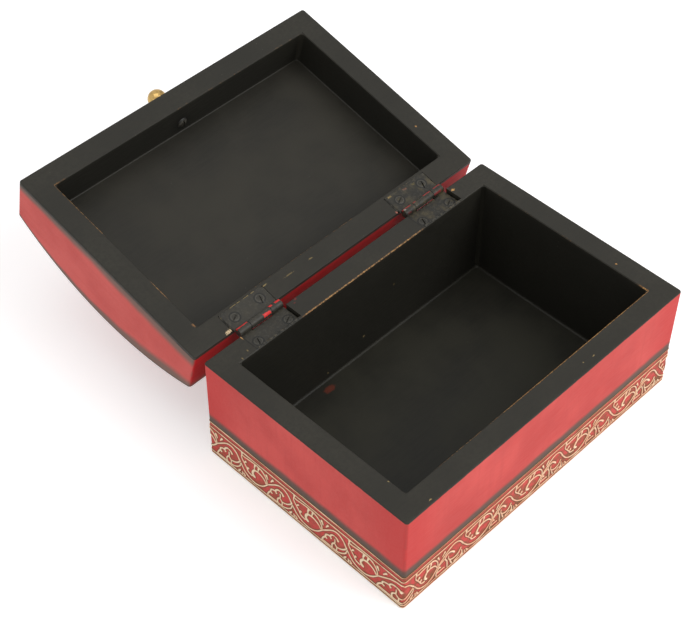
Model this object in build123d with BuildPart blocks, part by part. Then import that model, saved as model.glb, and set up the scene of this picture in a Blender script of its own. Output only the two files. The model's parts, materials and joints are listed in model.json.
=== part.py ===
from build123d import *
import os

os.makedirs("parts", exist_ok=True)

# A wooden storage box with a domed lid on two butt hinges. Sizes are in millimetres.
# X runs along the hinges, -Y is the side of the closed box with the knob, +Z is up.
# The origin is the centre of the underside, and the lid stands wide open at rest.

# Outside of the box
box_length = 180.0
box_width = 120.0
base_height = 61.0
corner_radius = 1.5
edge_radius = 0.6
rim_softening = 0.4

# Base boards and bottom panel
base_wall = 11.0
bottom_thickness = 6.0
bottom_rabbet = 5.0
panel_clearance = 0.15

# Lid frame, flat lining and arched top
lid_wall = 11.5
lid_inner_depth = 19.7
lid_edge_depth = 25.2
lid_rise = 13.8
top_thickness = 4.5
lining_thickness = 3.5
lining_rabbet = 3.5

# How the lid hangs: the pin axis against the base's back face and rim
pin_setback = 2.7
pin_drop = 1.0
rim_gap = 0.4
open_angle = 166.7

# Butt hinges, each with two knuckles on the base leaf and one on the lid leaf
left_hinge_inset = 35.6
right_hinge_inset = 38.8
leaf_length = 25.4
leaf_width = 12.2
leaf_thickness = 1.0
leaf_corner_radius = 1.0
knuckle_radius = 2.0
knuckle_gap = 0.15
end_knuckle_length = 6.5
leaf_root_clearance = 0.3
pin_clearance = 0.05
pin_end_chamfer = 0.2
mortise_end_gap = 0.7
mortise_front_gap = 0.35
base_screw_spacing = 18.2
base_screw_reach = 8.9
lid_screw_spacing = 15.5
lid_screw_reach = 7.3

# Slotted, raised-head wood screws for the hinges
screw_head_radius = 2.2
screw_head_rise = 0.4
screw_shank_radius = 1.1
screw_length = 9.5
screw_point = 2.0
screw_slot_width = 0.7
screw_slot_depth = 0.75
screw_slot_turns = (25.0, 70.0)
screw_fit = 0.03
screw_hole_radius = 1.25
pilot_clearance = 0.1

# Brads at the corners, in the bottom and in the top board
brad_head_radius = 1.2
brad_head_height = 0.6
brad_shank_radius = 0.7
brad_point = 1.5
brad_fit = 0.02
filler_depth = 1.0
corner_brad_length = 24.0
base_brad_heights = (15.0, 45.0)
lid_brad_depths = (6.0, 14.0)
bottom_brad_length = 16.0
bottom_brad_sink = 0.2
bottom_brad_spacing = 60.0
top_brad_length = 14.0
top_brad_spacing = 40.0

# Brass knob and the screw that holds it
knob_radius = 4.75
knob_centre_out = 6.7
knob_depth = 12.9
knob_flange_radius = 3.2
knob_flange_height = 0.7
knob_neck_radius = 2.3
knob_neck_start = 1.2
knob_bore_depth = 7.0
knob_screw_radius = 1.4
knob_screw_reach = 6.0
knob_screw_head_radius = 2.9
knob_screw_head_height = 1.7
knob_screw_slot_width = 0.9
knob_screw_slot_depth = 0.9
knob_hole_clearance = 0.2
knob_thread_clearance = 0.03

# Places worked out from the sizes above
inner_length = box_length - 2 * base_wall
inner_width = box_width - 2 * base_wall
lid_inner_length = box_length - 2 * lid_wall
lid_inner_width = box_width - 2 * lid_wall
lid_crown_depth = lid_edge_depth + lid_rise
dome_radius = ((box_width / 2) ** 2 + lid_rise**2) / (2 * lid_rise)
dome_centre_height = dome_radius - lid_crown_depth
pin_y = box_width / 2 + pin_setback
pin_z = base_height - pin_drop
leaf_root = knuckle_radius + leaf_root_clearance
hinge_places = {
    "left": left_hinge_inset - box_length / 2,
    "right": box_length / 2 - right_hinge_inset,
}
signs = (-1, 1)


def dome_height(across, radius):
    """Height of an arc about the dome's centre, negative below the rim, at a distance from the back."""
    return dome_centre_height - (radius**2 - (across - box_width / 2) ** 2) ** 0.5


def save(builder, name):
    """Label a finished piece and write it."""
    builder.part.label = name
    export_step(builder.part, f"parts/{name}.step")


# The lid's own plane: X along the hinges, Y from the back edge to the knob, Z out of the open side.
# Its back edge turns about the pin from its closed place to the open one.
closed_back_edge = Vector(0, -pin_setback, pin_drop + rim_gap)
lid_rim = Plane(
    origin=Vector(0, pin_y, pin_z) + closed_back_edge.rotate(Axis.X, -open_angle),
    x_dir=(1, 0, 0),
    z_dir=Vector(0, 0, -1).rotate(Axis.X, -open_angle),
)


# Hinge frames: X on the pin axis, Y out along the leaf, Z out of the leaf's visible face
def base_hinge_frame(place):
    """Frame of a base leaf, in the box's own axes."""
    return Plane(origin=(place, pin_y, pin_z), x_dir=(-1, 0, 0), z_dir=(0, 0, 1))


def lid_hinge_frame(place):
    """Frame of a lid leaf, measured in the lid's own plane."""
    return Plane(origin=(place, -pin_setback, pin_drop + rim_gap))


# Fasteners, each drawn along -Z with its seat at the origin
def brad(length, clearance=0.0):
    """A nail with a small flat head, or the hole that it fills when given a clearance."""
    with BuildPart() as nail:
        with BuildSketch(Plane.XZ):
            with BuildLine():
                Polyline(
                    (0, clearance),
                    (brad_head_radius + clearance, clearance),
                    (brad_head_radius + clearance, -brad_head_height),
                    (brad_shank_radius + clearance, -brad_head_height),
                    (brad_shank_radius + clearance, brad_point - length),
                    (0, -length - clearance),
                    close=True,
                )
            make_face()
        revolve(axis=Axis.Z)
    return nail.part


with BuildPart() as hinge_screw:
    head_top_radius = screw_head_radius - screw_fit
    cone_depth = head_top_radius - screw_shank_radius
    with BuildSketch(Plane.XZ):
        with BuildLine():
            TangentArc((0, screw_head_rise), (head_top_radius, 0), tangent=(1, 0))
            Polyline(
                (head_top_radius, 0),
                (screw_shank_radius, -cone_depth),
                (screw_shank_radius, screw_point - screw_length),
                (0, -screw_length),
                (0, screw_head_rise),
            )
        make_face()
    revolve(axis=Axis.Z)
    with Locations((0, 0, screw_head_rise)):
        Box(
            2 * screw_head_radius,
            screw_slot_width,
            2 * screw_slot_depth,
            mode=Mode.SUBTRACT,
        )

with BuildPart() as hinge_screw_pilot:
    Cylinder(
        screw_shank_radius + pilot_clearance,
        screw_length + pilot_clearance,
        align=(Align.CENTER, Align.CENTER, Align.MAX),
    )

with BuildPart() as knob_screw_turned:
    with BuildSketch(Plane.XZ):
        with BuildLine():
            TangentArc((0, knob_screw_head_height), (knob_screw_head_radius, 0), tangent=(1, 0))
            Polyline(
                (knob_screw_head_radius, 0),
                (knob_screw_radius, 0),
                (knob_screw_radius, -lid_wall - knob_screw_reach),
                (0, -lid_wall - knob_screw_reach),
                (0, knob_screw_head_height),
            )
        make_face()
    revolve(axis=Axis.Z)
    with Locations((0, 0, knob_screw_head_height)):
        Box(
            2 * knob_screw_head_radius,
            knob_screw_slot_width,
            2 * knob_screw_slot_depth,
            mode=Mode.SUBTRACT,
        )

# Places of the brads, each as a plane whose Z points out of the nail's head
corner_brad_x = (box_length - base_wall) / 2
corner_brad_y = box_width / 2 - filler_depth
base_corner_places = [
    Plane(origin=(side * corner_brad_x, face * corner_brad_y, height), z_dir=(0, face, 0))
    for side in signs
    for face in signs
    for height in base_brad_heights
]
bottom_brad_x = (inner_length + bottom_rabbet) / 2
bottom_brad_y = (inner_width + bottom_rabbet) / 2
bottom_places = [
    Plane(origin=(x, y, bottom_brad_sink), z_dir=(0, 0, -1))
    for x, y in [(step * bottom_brad_spacing, side * bottom_brad_y) for step in (-1, 0, 1) for side in signs]
    + [(side * bottom_brad_x, 0) for side in signs]
]
lid_brad_x = (box_length - lid_wall) / 2
lid_corner_places = [
    Plane(origin=(side * lid_brad_x, edge, -depth), z_dir=(0, out, 0))
    for side in signs
    for out, edge in ((-1, filler_depth), (1, box_width - filler_depth))
    for depth in lid_brad_depths
]
top_brad_x = (box_length - lid_wall + lining_rabbet) / 2
lid_top_places = [
    Plane(
        origin=(side * top_brad_x, across, dome_height(across, dome_radius) + filler_depth),
        z_dir=(0, 0, -1),
    )
    for side in signs
    for across in [box_width / 2 + step * top_brad_spacing for step in (-1, 0, 1)]
]

corner_brad = brad(corner_brad_length)
corner_brad_hole = brad(corner_brad_length, brad_fit)
bottom_brad = brad(bottom_brad_length)
bottom_brad_hole = brad(bottom_brad_length, brad_fit)
top_brad = brad(top_brad_length)
top_brad_hole = brad(top_brad_length, brad_fit)

# Space cut into a rim for a hinge leaf, in the hinge frame
with BuildPart() as hinge_mortise:
    with Locations((0, 0, -knuckle_radius)):
        Box(
            leaf_length + 2 * mortise_end_gap,
            leaf_width + mortise_front_gap,
            2 * knuckle_radius + pin_drop + rim_gap,
            align=(Align.CENTER, Align.MIN, Align.MIN),
        )

# Outer form of the base, with its softened corners and edges
with BuildPart() as base_form:
    with BuildSketch():
        RectangleRounded(box_length, box_width, corner_radius)
    extrude(amount=base_height)
    fillet(base_form.faces().filter_by(Axis.Z).edges(), radius=edge_radius)

# Softening inside the base rim: the opening widens a little at the top
with BuildPart() as base_rim_cut:
    with BuildSketch(Plane.XY.offset(base_height - rim_softening)):
        Rectangle(inner_length, inner_width)
    with BuildSketch(Plane.XY.offset(base_height)):
        Rectangle(inner_length + 2 * rim_softening, inner_width + 2 * rim_softening)
    loft()

# Rabbet for the bottom panel
with BuildPart() as bottom_rabbet_cut:
    Box(
        inner_length + 2 * bottom_rabbet,
        inner_width + 2 * bottom_rabbet,
        bottom_thickness,
        align=(Align.CENTER, Align.CENTER, Align.MIN),
    )


def shape_base_board():
    """Bring a rough base board to shape: outer form, rim, rabbet and brad holes."""
    add(base_form.part, mode=Mode.INTERSECT)
    add(base_rim_cut.part, mode=Mode.SUBTRACT)
    add(bottom_rabbet_cut.part, mode=Mode.SUBTRACT)
    with Locations(*base_corner_places):
        add(corner_brad_hole, mode=Mode.SUBTRACT)
    with Locations(*bottom_places):
        add(bottom_brad_hole, mode=Mode.SUBTRACT)


# Front board
with BuildPart() as base_front_board:
    with Locations((0, (base_wall - box_width) / 2, base_height / 2)):
        Box(box_length, base_wall, base_height)
    shape_base_board()
save(base_front_board, "base_front_board")

# Back board, with a mortise and two pilot holes for each hinge
with BuildPart() as base_back_board:
    with Locations((0, (box_width - base_wall) / 2, base_height / 2)):
        Box(box_length, base_wall, base_height)
    shape_base_board()
    for place in hinge_places.values():
        with Locations(base_hinge_frame(place)):
            add(hinge_mortise.part, mode=Mode.SUBTRACT)
            with Locations((0, base_screw_reach, leaf_thickness - knuckle_radius)):
                with GridLocations(base_screw_spacing, 0, 2, 1):
                    add(hinge_screw_pilot.part, mode=Mode.SUBTRACT)
save(base_back_board, "base_back_board")

# End boards between the long ones
for name, side in (("base_left_board", -1), ("base_right_board", 1)):
    with BuildPart() as end_board:
        with Locations((side * (box_length - base_wall) / 2, 0, base_height / 2)):
            Box(base_wall, inner_width, base_height)
        shape_base_board()
    save(end_board, name)

# Bottom panel in its rabbet
with BuildPart() as base_bottom_panel:
    Box(
        inner_length + 2 * (bottom_rabbet - panel_clearance),
        inner_width + 2 * (bottom_rabbet - panel_clearance),
        bottom_thickness,
        align=(Align.CENTER, Align.CENTER, Align.MIN),
    )
    with Locations(*bottom_places):
        add(bottom_brad_hole, mode=Mode.SUBTRACT)
        Cylinder(
            brad_head_radius + brad_fit,
            2 * bottom_brad_sink,
            mode=Mode.SUBTRACT,
        )
save(base_bottom_panel, "base_bottom_panel")

# Brads of the base
with BuildPart() as base_corner_brads:
    with Locations(*base_corner_places):
        add(corner_brad)
save(base_corner_brads, "base_corner_brads")

with BuildPart() as bottom_panel_brads:
    with Locations(*bottom_places):
        add(bottom_brad)
save(bottom_panel_brads, "bottom_panel_brads")

# Outer form of the lid, drawn with its rim on XY and its dome below
with BuildPart() as lid_form:
    with BuildSketch(Plane.YZ):
        with BuildLine():
            Polyline(
                (0, -lid_edge_depth),
                (0, 0),
                (box_width, 0),
                (box_width, -lid_edge_depth),
            )
            ThreePointArc(
                (box_width, -lid_edge_depth),
                (box_width / 2, -lid_crown_depth),
                (0, -lid_edge_depth),
            )
        make_face()
    extrude(amount=box_length / 2, both=True)
    fillet(lid_form.edges().filter_by(Axis.Z), radius=corner_radius)
    fillet(lid_form.faces().sort_by(Axis.Z)[-1].edges(), radius=edge_radius)
    fillet(lid_form.faces().filter_by(GeomType.CYLINDER).sort_by(SortBy.AREA)[-1].edges(), radius=edge_radius)

# Everything under the arched top board, in the same place
underside_edge = dome_height(0, dome_radius - top_thickness)
with BuildPart() as under_top:
    with BuildSketch(Plane.YZ):
        with BuildLine():
            Polyline((0, underside_edge), (0, 0), (box_width, 0), (box_width, underside_edge))
            ThreePointArc(
                (box_width, underside_edge),
                (box_width / 2, top_thickness - lid_crown_depth),
                (0, underside_edge),
            )
        make_face()
    extrude(amount=box_length / 2, both=True)

# Softening inside the lid rim
lid_middle = box_width / 2
with BuildPart() as lid_rim_cut:
    with BuildSketch(Plane.XY.offset(-rim_softening)):
        with Locations((0, lid_middle)):
            Rectangle(lid_inner_length, lid_inner_width)
    with BuildSketch(Plane.XY):
        with Locations((0, lid_middle)):
            Rectangle(lid_inner_length + 2 * rim_softening, lid_inner_width + 2 * rim_softening)
    loft()

# Rabbet for the lining, open towards the dome
with BuildPart() as lining_rabbet_cut:
    with Locations((0, lid_middle, -lid_inner_depth)):
        Box(
            lid_inner_length + 2 * lining_rabbet,
            lid_inner_width + 2 * lining_rabbet,
            lid_crown_depth,
            align=(Align.CENTER, Align.CENTER, Align.MAX),
        )


def shape_lid_rail():
    """Bring a rough lid rail to shape: outer form, arch, rim, rabbet and brad holes."""
    add(lid_form.part, mode=Mode.INTERSECT)
    add(under_top.part, mode=Mode.INTERSECT)
    add(lid_rim_cut.part, mode=Mode.SUBTRACT)
    add(lining_rabbet_cut.part, mode=Mode.SUBTRACT)
    with Locations(*lid_corner_places):
        add(corner_brad_hole, mode=Mode.SUBTRACT)
    with Locations(*lid_top_places):
        add(top_brad_hole, mode=Mode.SUBTRACT)


# Front rail, bored for the knob's screw
with BuildPart(lid_rim) as lid_front_rail:
    with Locations((0, box_width - lid_wall / 2, 0)):
        Box(
            box_length,
            lid_wall,
            lid_crown_depth,
            align=(Align.CENTER, Align.CENTER, Align.MAX),
        )
    shape_lid_rail()
    with Locations((0, box_width - lid_wall / 2, -knob_depth)):
        Cylinder(
            knob_screw_radius + knob_hole_clearance,
            2 * lid_wall,
            rotation=(90, 0, 0),
            mode=Mode.SUBTRACT,
        )
save(lid_front_rail, "lid_front_rail")

# Back rail, with a shallow recess and two pilot holes for each hinge
with BuildPart(lid_rim) as lid_back_rail:
    with Locations((0, lid_wall / 2, 0)):
        Box(
            box_length,
            lid_wall,
            lid_crown_depth,
            align=(Align.CENTER, Align.CENTER, Align.MAX),
        )
    shape_lid_rail()
    for place in hinge_places.values():
        with Locations(lid_hinge_frame(place)):
            add(hinge_mortise.part, mode=Mode.SUBTRACT)
            with Locations((0, lid_screw_reach, leaf_thickness - knuckle_radius)):
                with GridLocations(lid_screw_spacing, 0, 2, 1):
                    add(hinge_screw_pilot.part, mode=Mode.SUBTRACT)
save(lid_back_rail, "lid_back_rail")

# Arched end rails between the long ones
for name, side in (("lid_left_rail", -1), ("lid_right_rail", 1)):
    with BuildPart(lid_rim) as end_rail:
        with Locations((side * (box_length - lid_wall) / 2, lid_middle, 0)):
            Box(
                lid_wall,
                lid_inner_width,
                lid_crown_depth,
                align=(Align.CENTER, Align.CENTER, Align.MAX),
            )
        shape_lid_rail()
    save(end_rail, name)

# Flat lining inside the lid
with BuildPart(lid_rim) as lid_lining_panel:
    with Locations((0, lid_middle, -lid_inner_depth)):
        Box(
            lid_inner_length + 2 * (lining_rabbet - panel_clearance),
            lid_inner_width + 2 * (lining_rabbet - panel_clearance),
            lining_thickness,
            align=(Align.CENTER, Align.CENTER, Align.MAX),
        )
save(lid_lining_panel, "lid_lining_panel")

# Bent top board over the arched ends
with BuildPart(lid_rim) as lid_top_board:
    add(lid_form.part)
    add(under_top.part, mode=Mode.SUBTRACT)
    with Locations(*lid_top_places):
        add(top_brad_hole, mode=Mode.SUBTRACT)
save(lid_top_board, "lid_top_board")

# Brads of the lid
with BuildPart(lid_rim) as lid_corner_brads:
    with Locations(*lid_corner_places):
        add(corner_brad)
save(lid_corner_brads, "lid_corner_brads")

with BuildPart(lid_rim) as lid_top_brads:
    with Locations(*lid_top_places):
        add(top_brad)
save(lid_top_brads, "lid_top_brads")


def make_leaf(frame, knuckles, screw_spacing, screw_reach):
    """One hinge leaf and its knuckles, rolled from the leaf's own sheet, with two countersunk holes."""
    with BuildPart(frame) as leaf:
        with Locations((0, leaf_root, -knuckle_radius)):
            Box(
                leaf_length,
                leaf_width - leaf_root,
                leaf_thickness,
                align=(Align.CENTER, Align.MIN, Align.MIN),
            )
        upright = leaf.edges().filter_by(Axis(frame.origin, frame.z_dir))
        fillet(upright.sort_by(Axis(frame.origin, frame.y_dir))[-2:], radius=leaf_corner_radius)
        for start, end in knuckles:
            with Locations(((start + end) / 2, 0, 0)):
                Cylinder(knuckle_radius, end - start, rotation=(0, 90, 0))
            with Locations(((start + end) / 2, 0, -knuckle_radius)):
                Box(
                    end - start,
                    leaf_root,
                    leaf_thickness,
                    align=(Align.CENTER, Align.MIN, Align.MIN),
                )
        Cylinder(
            knuckle_radius - leaf_thickness,
            leaf_length,
            rotation=(0, 90, 0),
            mode=Mode.SUBTRACT,
        )
        with Locations((0, screw_reach, leaf_thickness - knuckle_radius)):
            with GridLocations(screw_spacing, 0, 2, 1):
                CounterSinkHole(
                    screw_hole_radius,
                    screw_head_radius,
                    depth=leaf_thickness,
                    counter_sink_angle=90,
                )
    return leaf


def make_hinge_screws(frame, screw_spacing, screw_reach):
    """The two screws of one leaf, with their slots turned differently, as a screwdriver leaves them."""
    with BuildPart(frame) as screws:
        for end, turn in zip(signs, screw_slot_turns):
            seat = (end * screw_spacing / 2, screw_reach, leaf_thickness - knuckle_radius)
            with Locations(Location(seat, (0, 0, turn))):
                add(hinge_screw.part)
    return screws


# Hinges: the base leaf owns the end knuckles and the pin, the lid leaf the middle knuckle
half_leaf = leaf_length / 2
end_knuckles = (
    (-half_leaf, end_knuckle_length - half_leaf),
    (half_leaf - end_knuckle_length, half_leaf),
)
middle_half = half_leaf - end_knuckle_length - knuckle_gap
middle_knuckle = ((-middle_half, middle_half),)

for name, place in hinge_places.items():
    base_frame = base_hinge_frame(place)
    lid_frame = Plane(origin=(place, pin_y, pin_z), x_dir=(1, 0, 0), z_dir=lid_rim.z_dir)
    base_leaf = make_leaf(base_frame, end_knuckles, base_screw_spacing, base_screw_reach)
    save(base_leaf, f"{name}_hinge_base_leaf")
    lid_leaf = make_leaf(lid_frame, middle_knuckle, lid_screw_spacing, lid_screw_reach)
    save(lid_leaf, f"{name}_hinge_lid_leaf")
    base_screws = make_hinge_screws(base_frame, base_screw_spacing, base_screw_reach)
    save(base_screws, f"{name}_hinge_base_screws")
    lid_screws = make_hinge_screws(lid_frame, lid_screw_spacing, lid_screw_reach)
    save(lid_screws, f"{name}_hinge_lid_screws")
    with BuildPart(base_frame) as hinge_pin:
        Cylinder(
            knuckle_radius - leaf_thickness - pin_clearance,
            leaf_length,
            rotation=(0, 90, 0),
        )
        chamfer(hinge_pin.edges().filter_by(GeomType.CIRCLE), length=pin_end_chamfer)
    save(hinge_pin, f"{name}_hinge_pin")

# Knob, turned about Z with its flange at the origin, then set on the lid's front rail
ball_top = knob_centre_out + knob_radius
neck_meets_ball = knob_centre_out - (knob_radius**2 - knob_neck_radius**2) ** 0.5
with BuildPart() as knob_turned:
    with BuildSketch(Plane.XZ):
        with BuildLine():
            Polyline(
                (0, ball_top),
                (0, 0),
                (knob_flange_radius, 0),
                (knob_flange_radius, knob_flange_height),
                (knob_neck_radius, knob_neck_start),
                (knob_neck_radius, neck_meets_ball),
            )
            ThreePointArc(
                (knob_neck_radius, neck_meets_ball),
                (knob_radius, knob_centre_out),
                (0, ball_top),
            )
        make_face()
    revolve(axis=Axis.Z)
    Cylinder(
        knob_screw_radius + knob_thread_clearance,
        knob_bore_depth,
        align=(Align.CENTER, Align.CENTER, Align.MIN),
        mode=Mode.SUBTRACT,
    )

with BuildPart(lid_rim) as knob:
    with Locations(Plane(origin=(0, box_width, -knob_depth), z_dir=(0, 1, 0))):
        add(knob_turned.part)
save(knob, "knob")

with BuildPart(lid_rim) as knob_screw:
    with Locations(Plane(origin=(0, box_width - lid_wall, -knob_depth), z_dir=(0, -1, 0))):
        add(knob_screw_turned.part)
save(knob_screw, "knob_screw")
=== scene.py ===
"""The looks of a small wooden storage box with a domed lid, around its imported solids.

The outside is red with a raised gilt vine round the foot, and the rims and the inside are
black. Lengths are in metres in the part's own frame: X along the hinges, +Y from the front
to the hinges, +Z up, with the origin under the middle of the base. The lid stands open.
"""

import json
import logging
import math
from dataclasses import dataclass, field, replace
from enum import Enum

import bmesh
import bpy
from mathutils import Matrix, Vector, noise


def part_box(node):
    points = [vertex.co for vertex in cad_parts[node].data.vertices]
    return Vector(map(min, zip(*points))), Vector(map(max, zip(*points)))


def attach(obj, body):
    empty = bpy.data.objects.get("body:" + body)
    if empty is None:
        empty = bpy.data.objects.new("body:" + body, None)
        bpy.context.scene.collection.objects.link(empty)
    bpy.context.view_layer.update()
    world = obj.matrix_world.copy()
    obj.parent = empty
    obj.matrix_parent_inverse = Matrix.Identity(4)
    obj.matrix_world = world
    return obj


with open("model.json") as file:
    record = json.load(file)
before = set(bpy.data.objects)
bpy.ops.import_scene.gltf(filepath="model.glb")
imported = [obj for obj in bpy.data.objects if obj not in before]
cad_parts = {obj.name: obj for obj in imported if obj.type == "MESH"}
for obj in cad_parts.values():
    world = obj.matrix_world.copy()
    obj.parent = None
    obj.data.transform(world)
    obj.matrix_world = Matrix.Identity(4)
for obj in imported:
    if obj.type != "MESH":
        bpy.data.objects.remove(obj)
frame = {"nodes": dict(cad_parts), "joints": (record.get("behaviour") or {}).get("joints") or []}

log = logging.getLogger("storage_box")

MM = 0.001
NOISE_SEED = 7
UP = Vector((0.0, 0.0, 1.0))
Colour = tuple[float, float, float]
Socket = bpy.types.NodeSocket
Input = Socket | float | tuple[float, ...]


class Body(Enum):
    """The two bodies that pieces ride on."""

    BASE = "base"
    LID = "lid"


class Side(Enum):
    """The sides of the two hinges, as seen from the knob's side of the closed box."""

    LEFT = "left"
    RIGHT = "right"


class Slot(Enum):
    """Names of two of the record's material slots."""

    RED_WOOD = "red_painted_wood"
    BLACK_WOOD = "black_painted_wood"


@dataclass(frozen=True)
class BoxSizes:
    """Sizes shared by the finishes, in metres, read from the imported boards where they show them."""

    half_length: float
    half_width: float
    base_height: float
    base_wall: float
    floor_height: float
    lid_wall: float = 11.5 * MM
    lid_inner_depth: float = 19.7 * MM
    lid_crown_depth: float = 39.0 * MM
    dome_radius: float = 137.33 * MM
    corner_radius: float = 1.5 * MM
    pin: Vector = field(default_factory=Vector)
    open_angle: float = 0.0
    pin_setback: float = 2.7 * MM
    rim_offset: float = 1.4 * MM

    @classmethod
    def from_frame(cls) -> "BoxSizes":
        """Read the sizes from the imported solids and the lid's joint.

        Returns:
            The sizes of this box.
        """
        front_low, front_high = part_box("base_front_board")
        floor_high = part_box("base_bottom_panel")[1]
        joint = frame["joints"][0]
        return cls(
            half_length=front_high.x,
            half_width=-front_low.y,
            base_height=front_high.z,
            base_wall=front_high.y - front_low.y,
            floor_height=floor_high.z,
            pin=Vector(joint["pos_m"]),
            open_angle=math.radians(joint["range_deg"][1]),
        )

    @property
    def lid_tilt(self) -> float:
        """Angle of the open lid's rim above the level."""
        return math.pi - self.open_angle

    @property
    def lid_edge(self) -> Vector:
        """The lid's back edge at rest, where its rim meets its back face."""
        arm = Vector((0.0, -self.pin_setback, self.rim_offset))
        return self.pin + Matrix.Rotation(-self.open_angle, 3, "X") @ arm

    def lid_matrix(self) -> Matrix:
        """Place of the lid's own axes: X along the hinges, Y to the knob, Z out of its open side.

        Returns:
            The matrix from the lid's axes, centred on its rim, to the frame.
        """
        turn = Matrix.Rotation(self.lid_tilt, 4, "X")
        centre = Matrix.Translation((0.0, self.half_width, 0.0))
        return Matrix.Translation(self.lid_edge) @ turn @ centre

    def lid_direction(self, x: float, y: float, z: float) -> Vector:
        """A direction given in the lid's own axes, turned into the frame."""
        return self.lid_matrix().to_3x3() @ Vector((x, y, z))


SIZES = BoxSizes.from_frame()


class NodeNet:
    """A hand for wiring shader nodes in one tree."""

    def __init__(self, tree: bpy.types.NodeTree) -> None:
        """Work in an existing tree.

        Args:
            tree: The tree that gets the nodes.
        """
        self.tree = tree

    def feed(self, target: Socket, value: Input) -> None:
        """Link a socket to an input, or write a constant on it.

        Args:
            target: The input socket.
            value: Another node's output, or a constant.
        """
        if isinstance(value, bpy.types.NodeSocket):
            self.tree.links.new(value, target)
        elif target.type == "RGBA" and len(value) == 3:
            target.default_value = (*value, 1.0)
        else:
            target.default_value = value

    def node(
        self, kind: str, inputs: dict[str | int, Input] | None = None, **settings: object
    ) -> bpy.types.Node:
        """Add a node.

        Args:
            kind: The node's type.
            inputs: Values or links for its inputs, by name or index.
            settings: The node's own settings.

        Returns:
            The new node.
        """
        made = self.tree.nodes.new(kind)
        for name, value in settings.items():
            setattr(made, name, value)
        for name, value in (inputs or {}).items():
            self.feed(made.inputs[name], value)
        return made

    def math(self, operation: str, *values: Input) -> Socket:
        """Sum, product and the like of one to three values."""
        return self.node("ShaderNodeMath", dict(enumerate(values)), operation=operation).outputs[0]

    def times(self, first: Input, second: Input) -> Socket:
        """One value times another."""
        return self.math("MULTIPLY", first, second)

    def plus(self, first: Input, second: Input) -> Socket:
        """The sum of two values."""
        return self.math("ADD", first, second)

    def minus(self, first: Input, second: Input) -> Socket:
        """One value less another."""
        return self.math("SUBTRACT", first, second)

    def vector(self, operation: str, *values: Input) -> Socket:
        """A vector that comes out of one or two vectors."""
        return self.node("ShaderNodeVectorMath", dict(enumerate(values)), operation=operation).outputs[0]

    def length(self, value: Input) -> Socket:
        """Length of a vector."""
        return self.node("ShaderNodeVectorMath", {0: value}, operation="LENGTH").outputs["Value"]

    def split(self, value: Input) -> tuple[Socket, Socket, Socket]:
        """The three parts of a vector."""
        parts = self.node("ShaderNodeSeparateXYZ", {0: value}).outputs
        return parts[0], parts[1], parts[2]

    def join(self, x: Input, y: Input, z: Input) -> Socket:
        """A vector from its three parts."""
        return self.node("ShaderNodeCombineXYZ", {0: x, 1: y, 2: z}).outputs[0]

    def remap(
        self, value: Input, low: float, high: float, to_low: float = 0.0, to_high: float = 1.0
    ) -> Socket:
        """Stretch a value smoothly from one range to another and hold it there.

        Args:
            value: What is remapped.
            low: Value that gives to_low.
            high: Value that gives to_high.
            to_low: Result at low.
            to_high: Result at high.

        Returns:
            The remapped value.
        """
        inputs = {"Value": value, "From Min": low, "From Max": high, "To Min": to_low, "To Max": to_high}
        made = self.node("ShaderNodeMapRange", inputs, interpolation_type="SMOOTHSTEP")
        return made.outputs["Result"]

    def window(self, value: Input, start: float, end: float, softness: float) -> Socket:
        """1 between two limits and 0 outside them.

        Args:
            value: What is tested.
            start: Lower limit.
            end: Upper limit.
            softness: Width of each limit's slope.

        Returns:
            The mask.
        """
        rise = self.remap(value, start - softness / 2, start + softness / 2)
        fall = self.remap(value, end - softness / 2, end + softness / 2, 1.0, 0.0)
        return self.times(rise, fall)

    def noise(self, point: Input, scale: float, detail: float = 2.0, roughness: float = 0.5) -> Socket:
        """Smooth noise from 0 to 1 at a point, with a scale in cells per metre."""
        inputs = {"Vector": point, "Scale": scale, "Detail": detail, "Roughness": roughness}
        return self.node("ShaderNodeTexNoise", inputs).outputs[0]

    def mix(self, share: Input, first: Input, second: Input) -> Socket:
        """A colour between two, at a share from 0 to 1."""
        made = self.node("ShaderNodeMix", {0: share, 6: first, 7: second}, data_type="RGBA")
        return made.outputs[2]

    def blend(self, share: Input, first: Input, second: Input) -> Socket:
        """A number between two, at a share from 0 to 1."""
        made = self.node("ShaderNodeMix", {0: share, 2: first, 3: second}, data_type="FLOAT")
        return made.outputs[0]

    def group(self, tree: bpy.types.NodeTree, inputs: dict[str, Input]) -> bpy.types.Node:
        """Place a node group, with values or links for its inputs."""
        return self.node("ShaderNodeGroup", inputs, node_tree=tree)

    def find(self, kind: str) -> bpy.types.Node:
        """The first node of a type that the tree already holds."""
        return next(node for node in self.tree.nodes if node.type == kind)

    def place(self) -> Socket:
        """The shaded point, in coordinates that are the frame's own while its piece is at rest."""
        return self.node("ShaderNodeTexCoord").outputs["Object"]

    def bump(self, shader: bpy.types.Node, strength: float, distance: float, height: Input) -> None:
        """Raise a shader's surface by a height."""
        made = self.node("ShaderNodeBump", {"Strength": strength, "Distance": distance, "Height": height})
        self.feed(shader.inputs["Normal"], made.outputs["Normal"])

    def sight_rays(self) -> Socket:
        """1 for rays that see the background: the camera's, mirrored ones and those through glass.

        Returns:
            The mask.
        """
        rays = self.node("ShaderNodeLightPath").outputs
        seen = self.math("MAXIMUM", rays["Is Camera Ray"], rays["Is Glossy Ray"])
        return self.math("MAXIMUM", seen, rays["Is Transmission Ray"])


def new_material(name: str) -> tuple[bpy.types.Material, NodeNet, bpy.types.Node]:
    """Start a material.

    Args:
        name: Its name.

    Returns:
        The material, its net, and its surface shader.
    """
    material = bpy.data.materials.new(name)
    material.use_nodes = True
    net = NodeNet(material.node_tree)
    return material, net, net.find("BSDF_PRINCIPLED")


class GroupSocket(Enum):
    """Kinds of socket that a node group can have."""

    NUMBER = "NodeSocketFloat"
    POINT = "NodeSocketVector"


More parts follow.
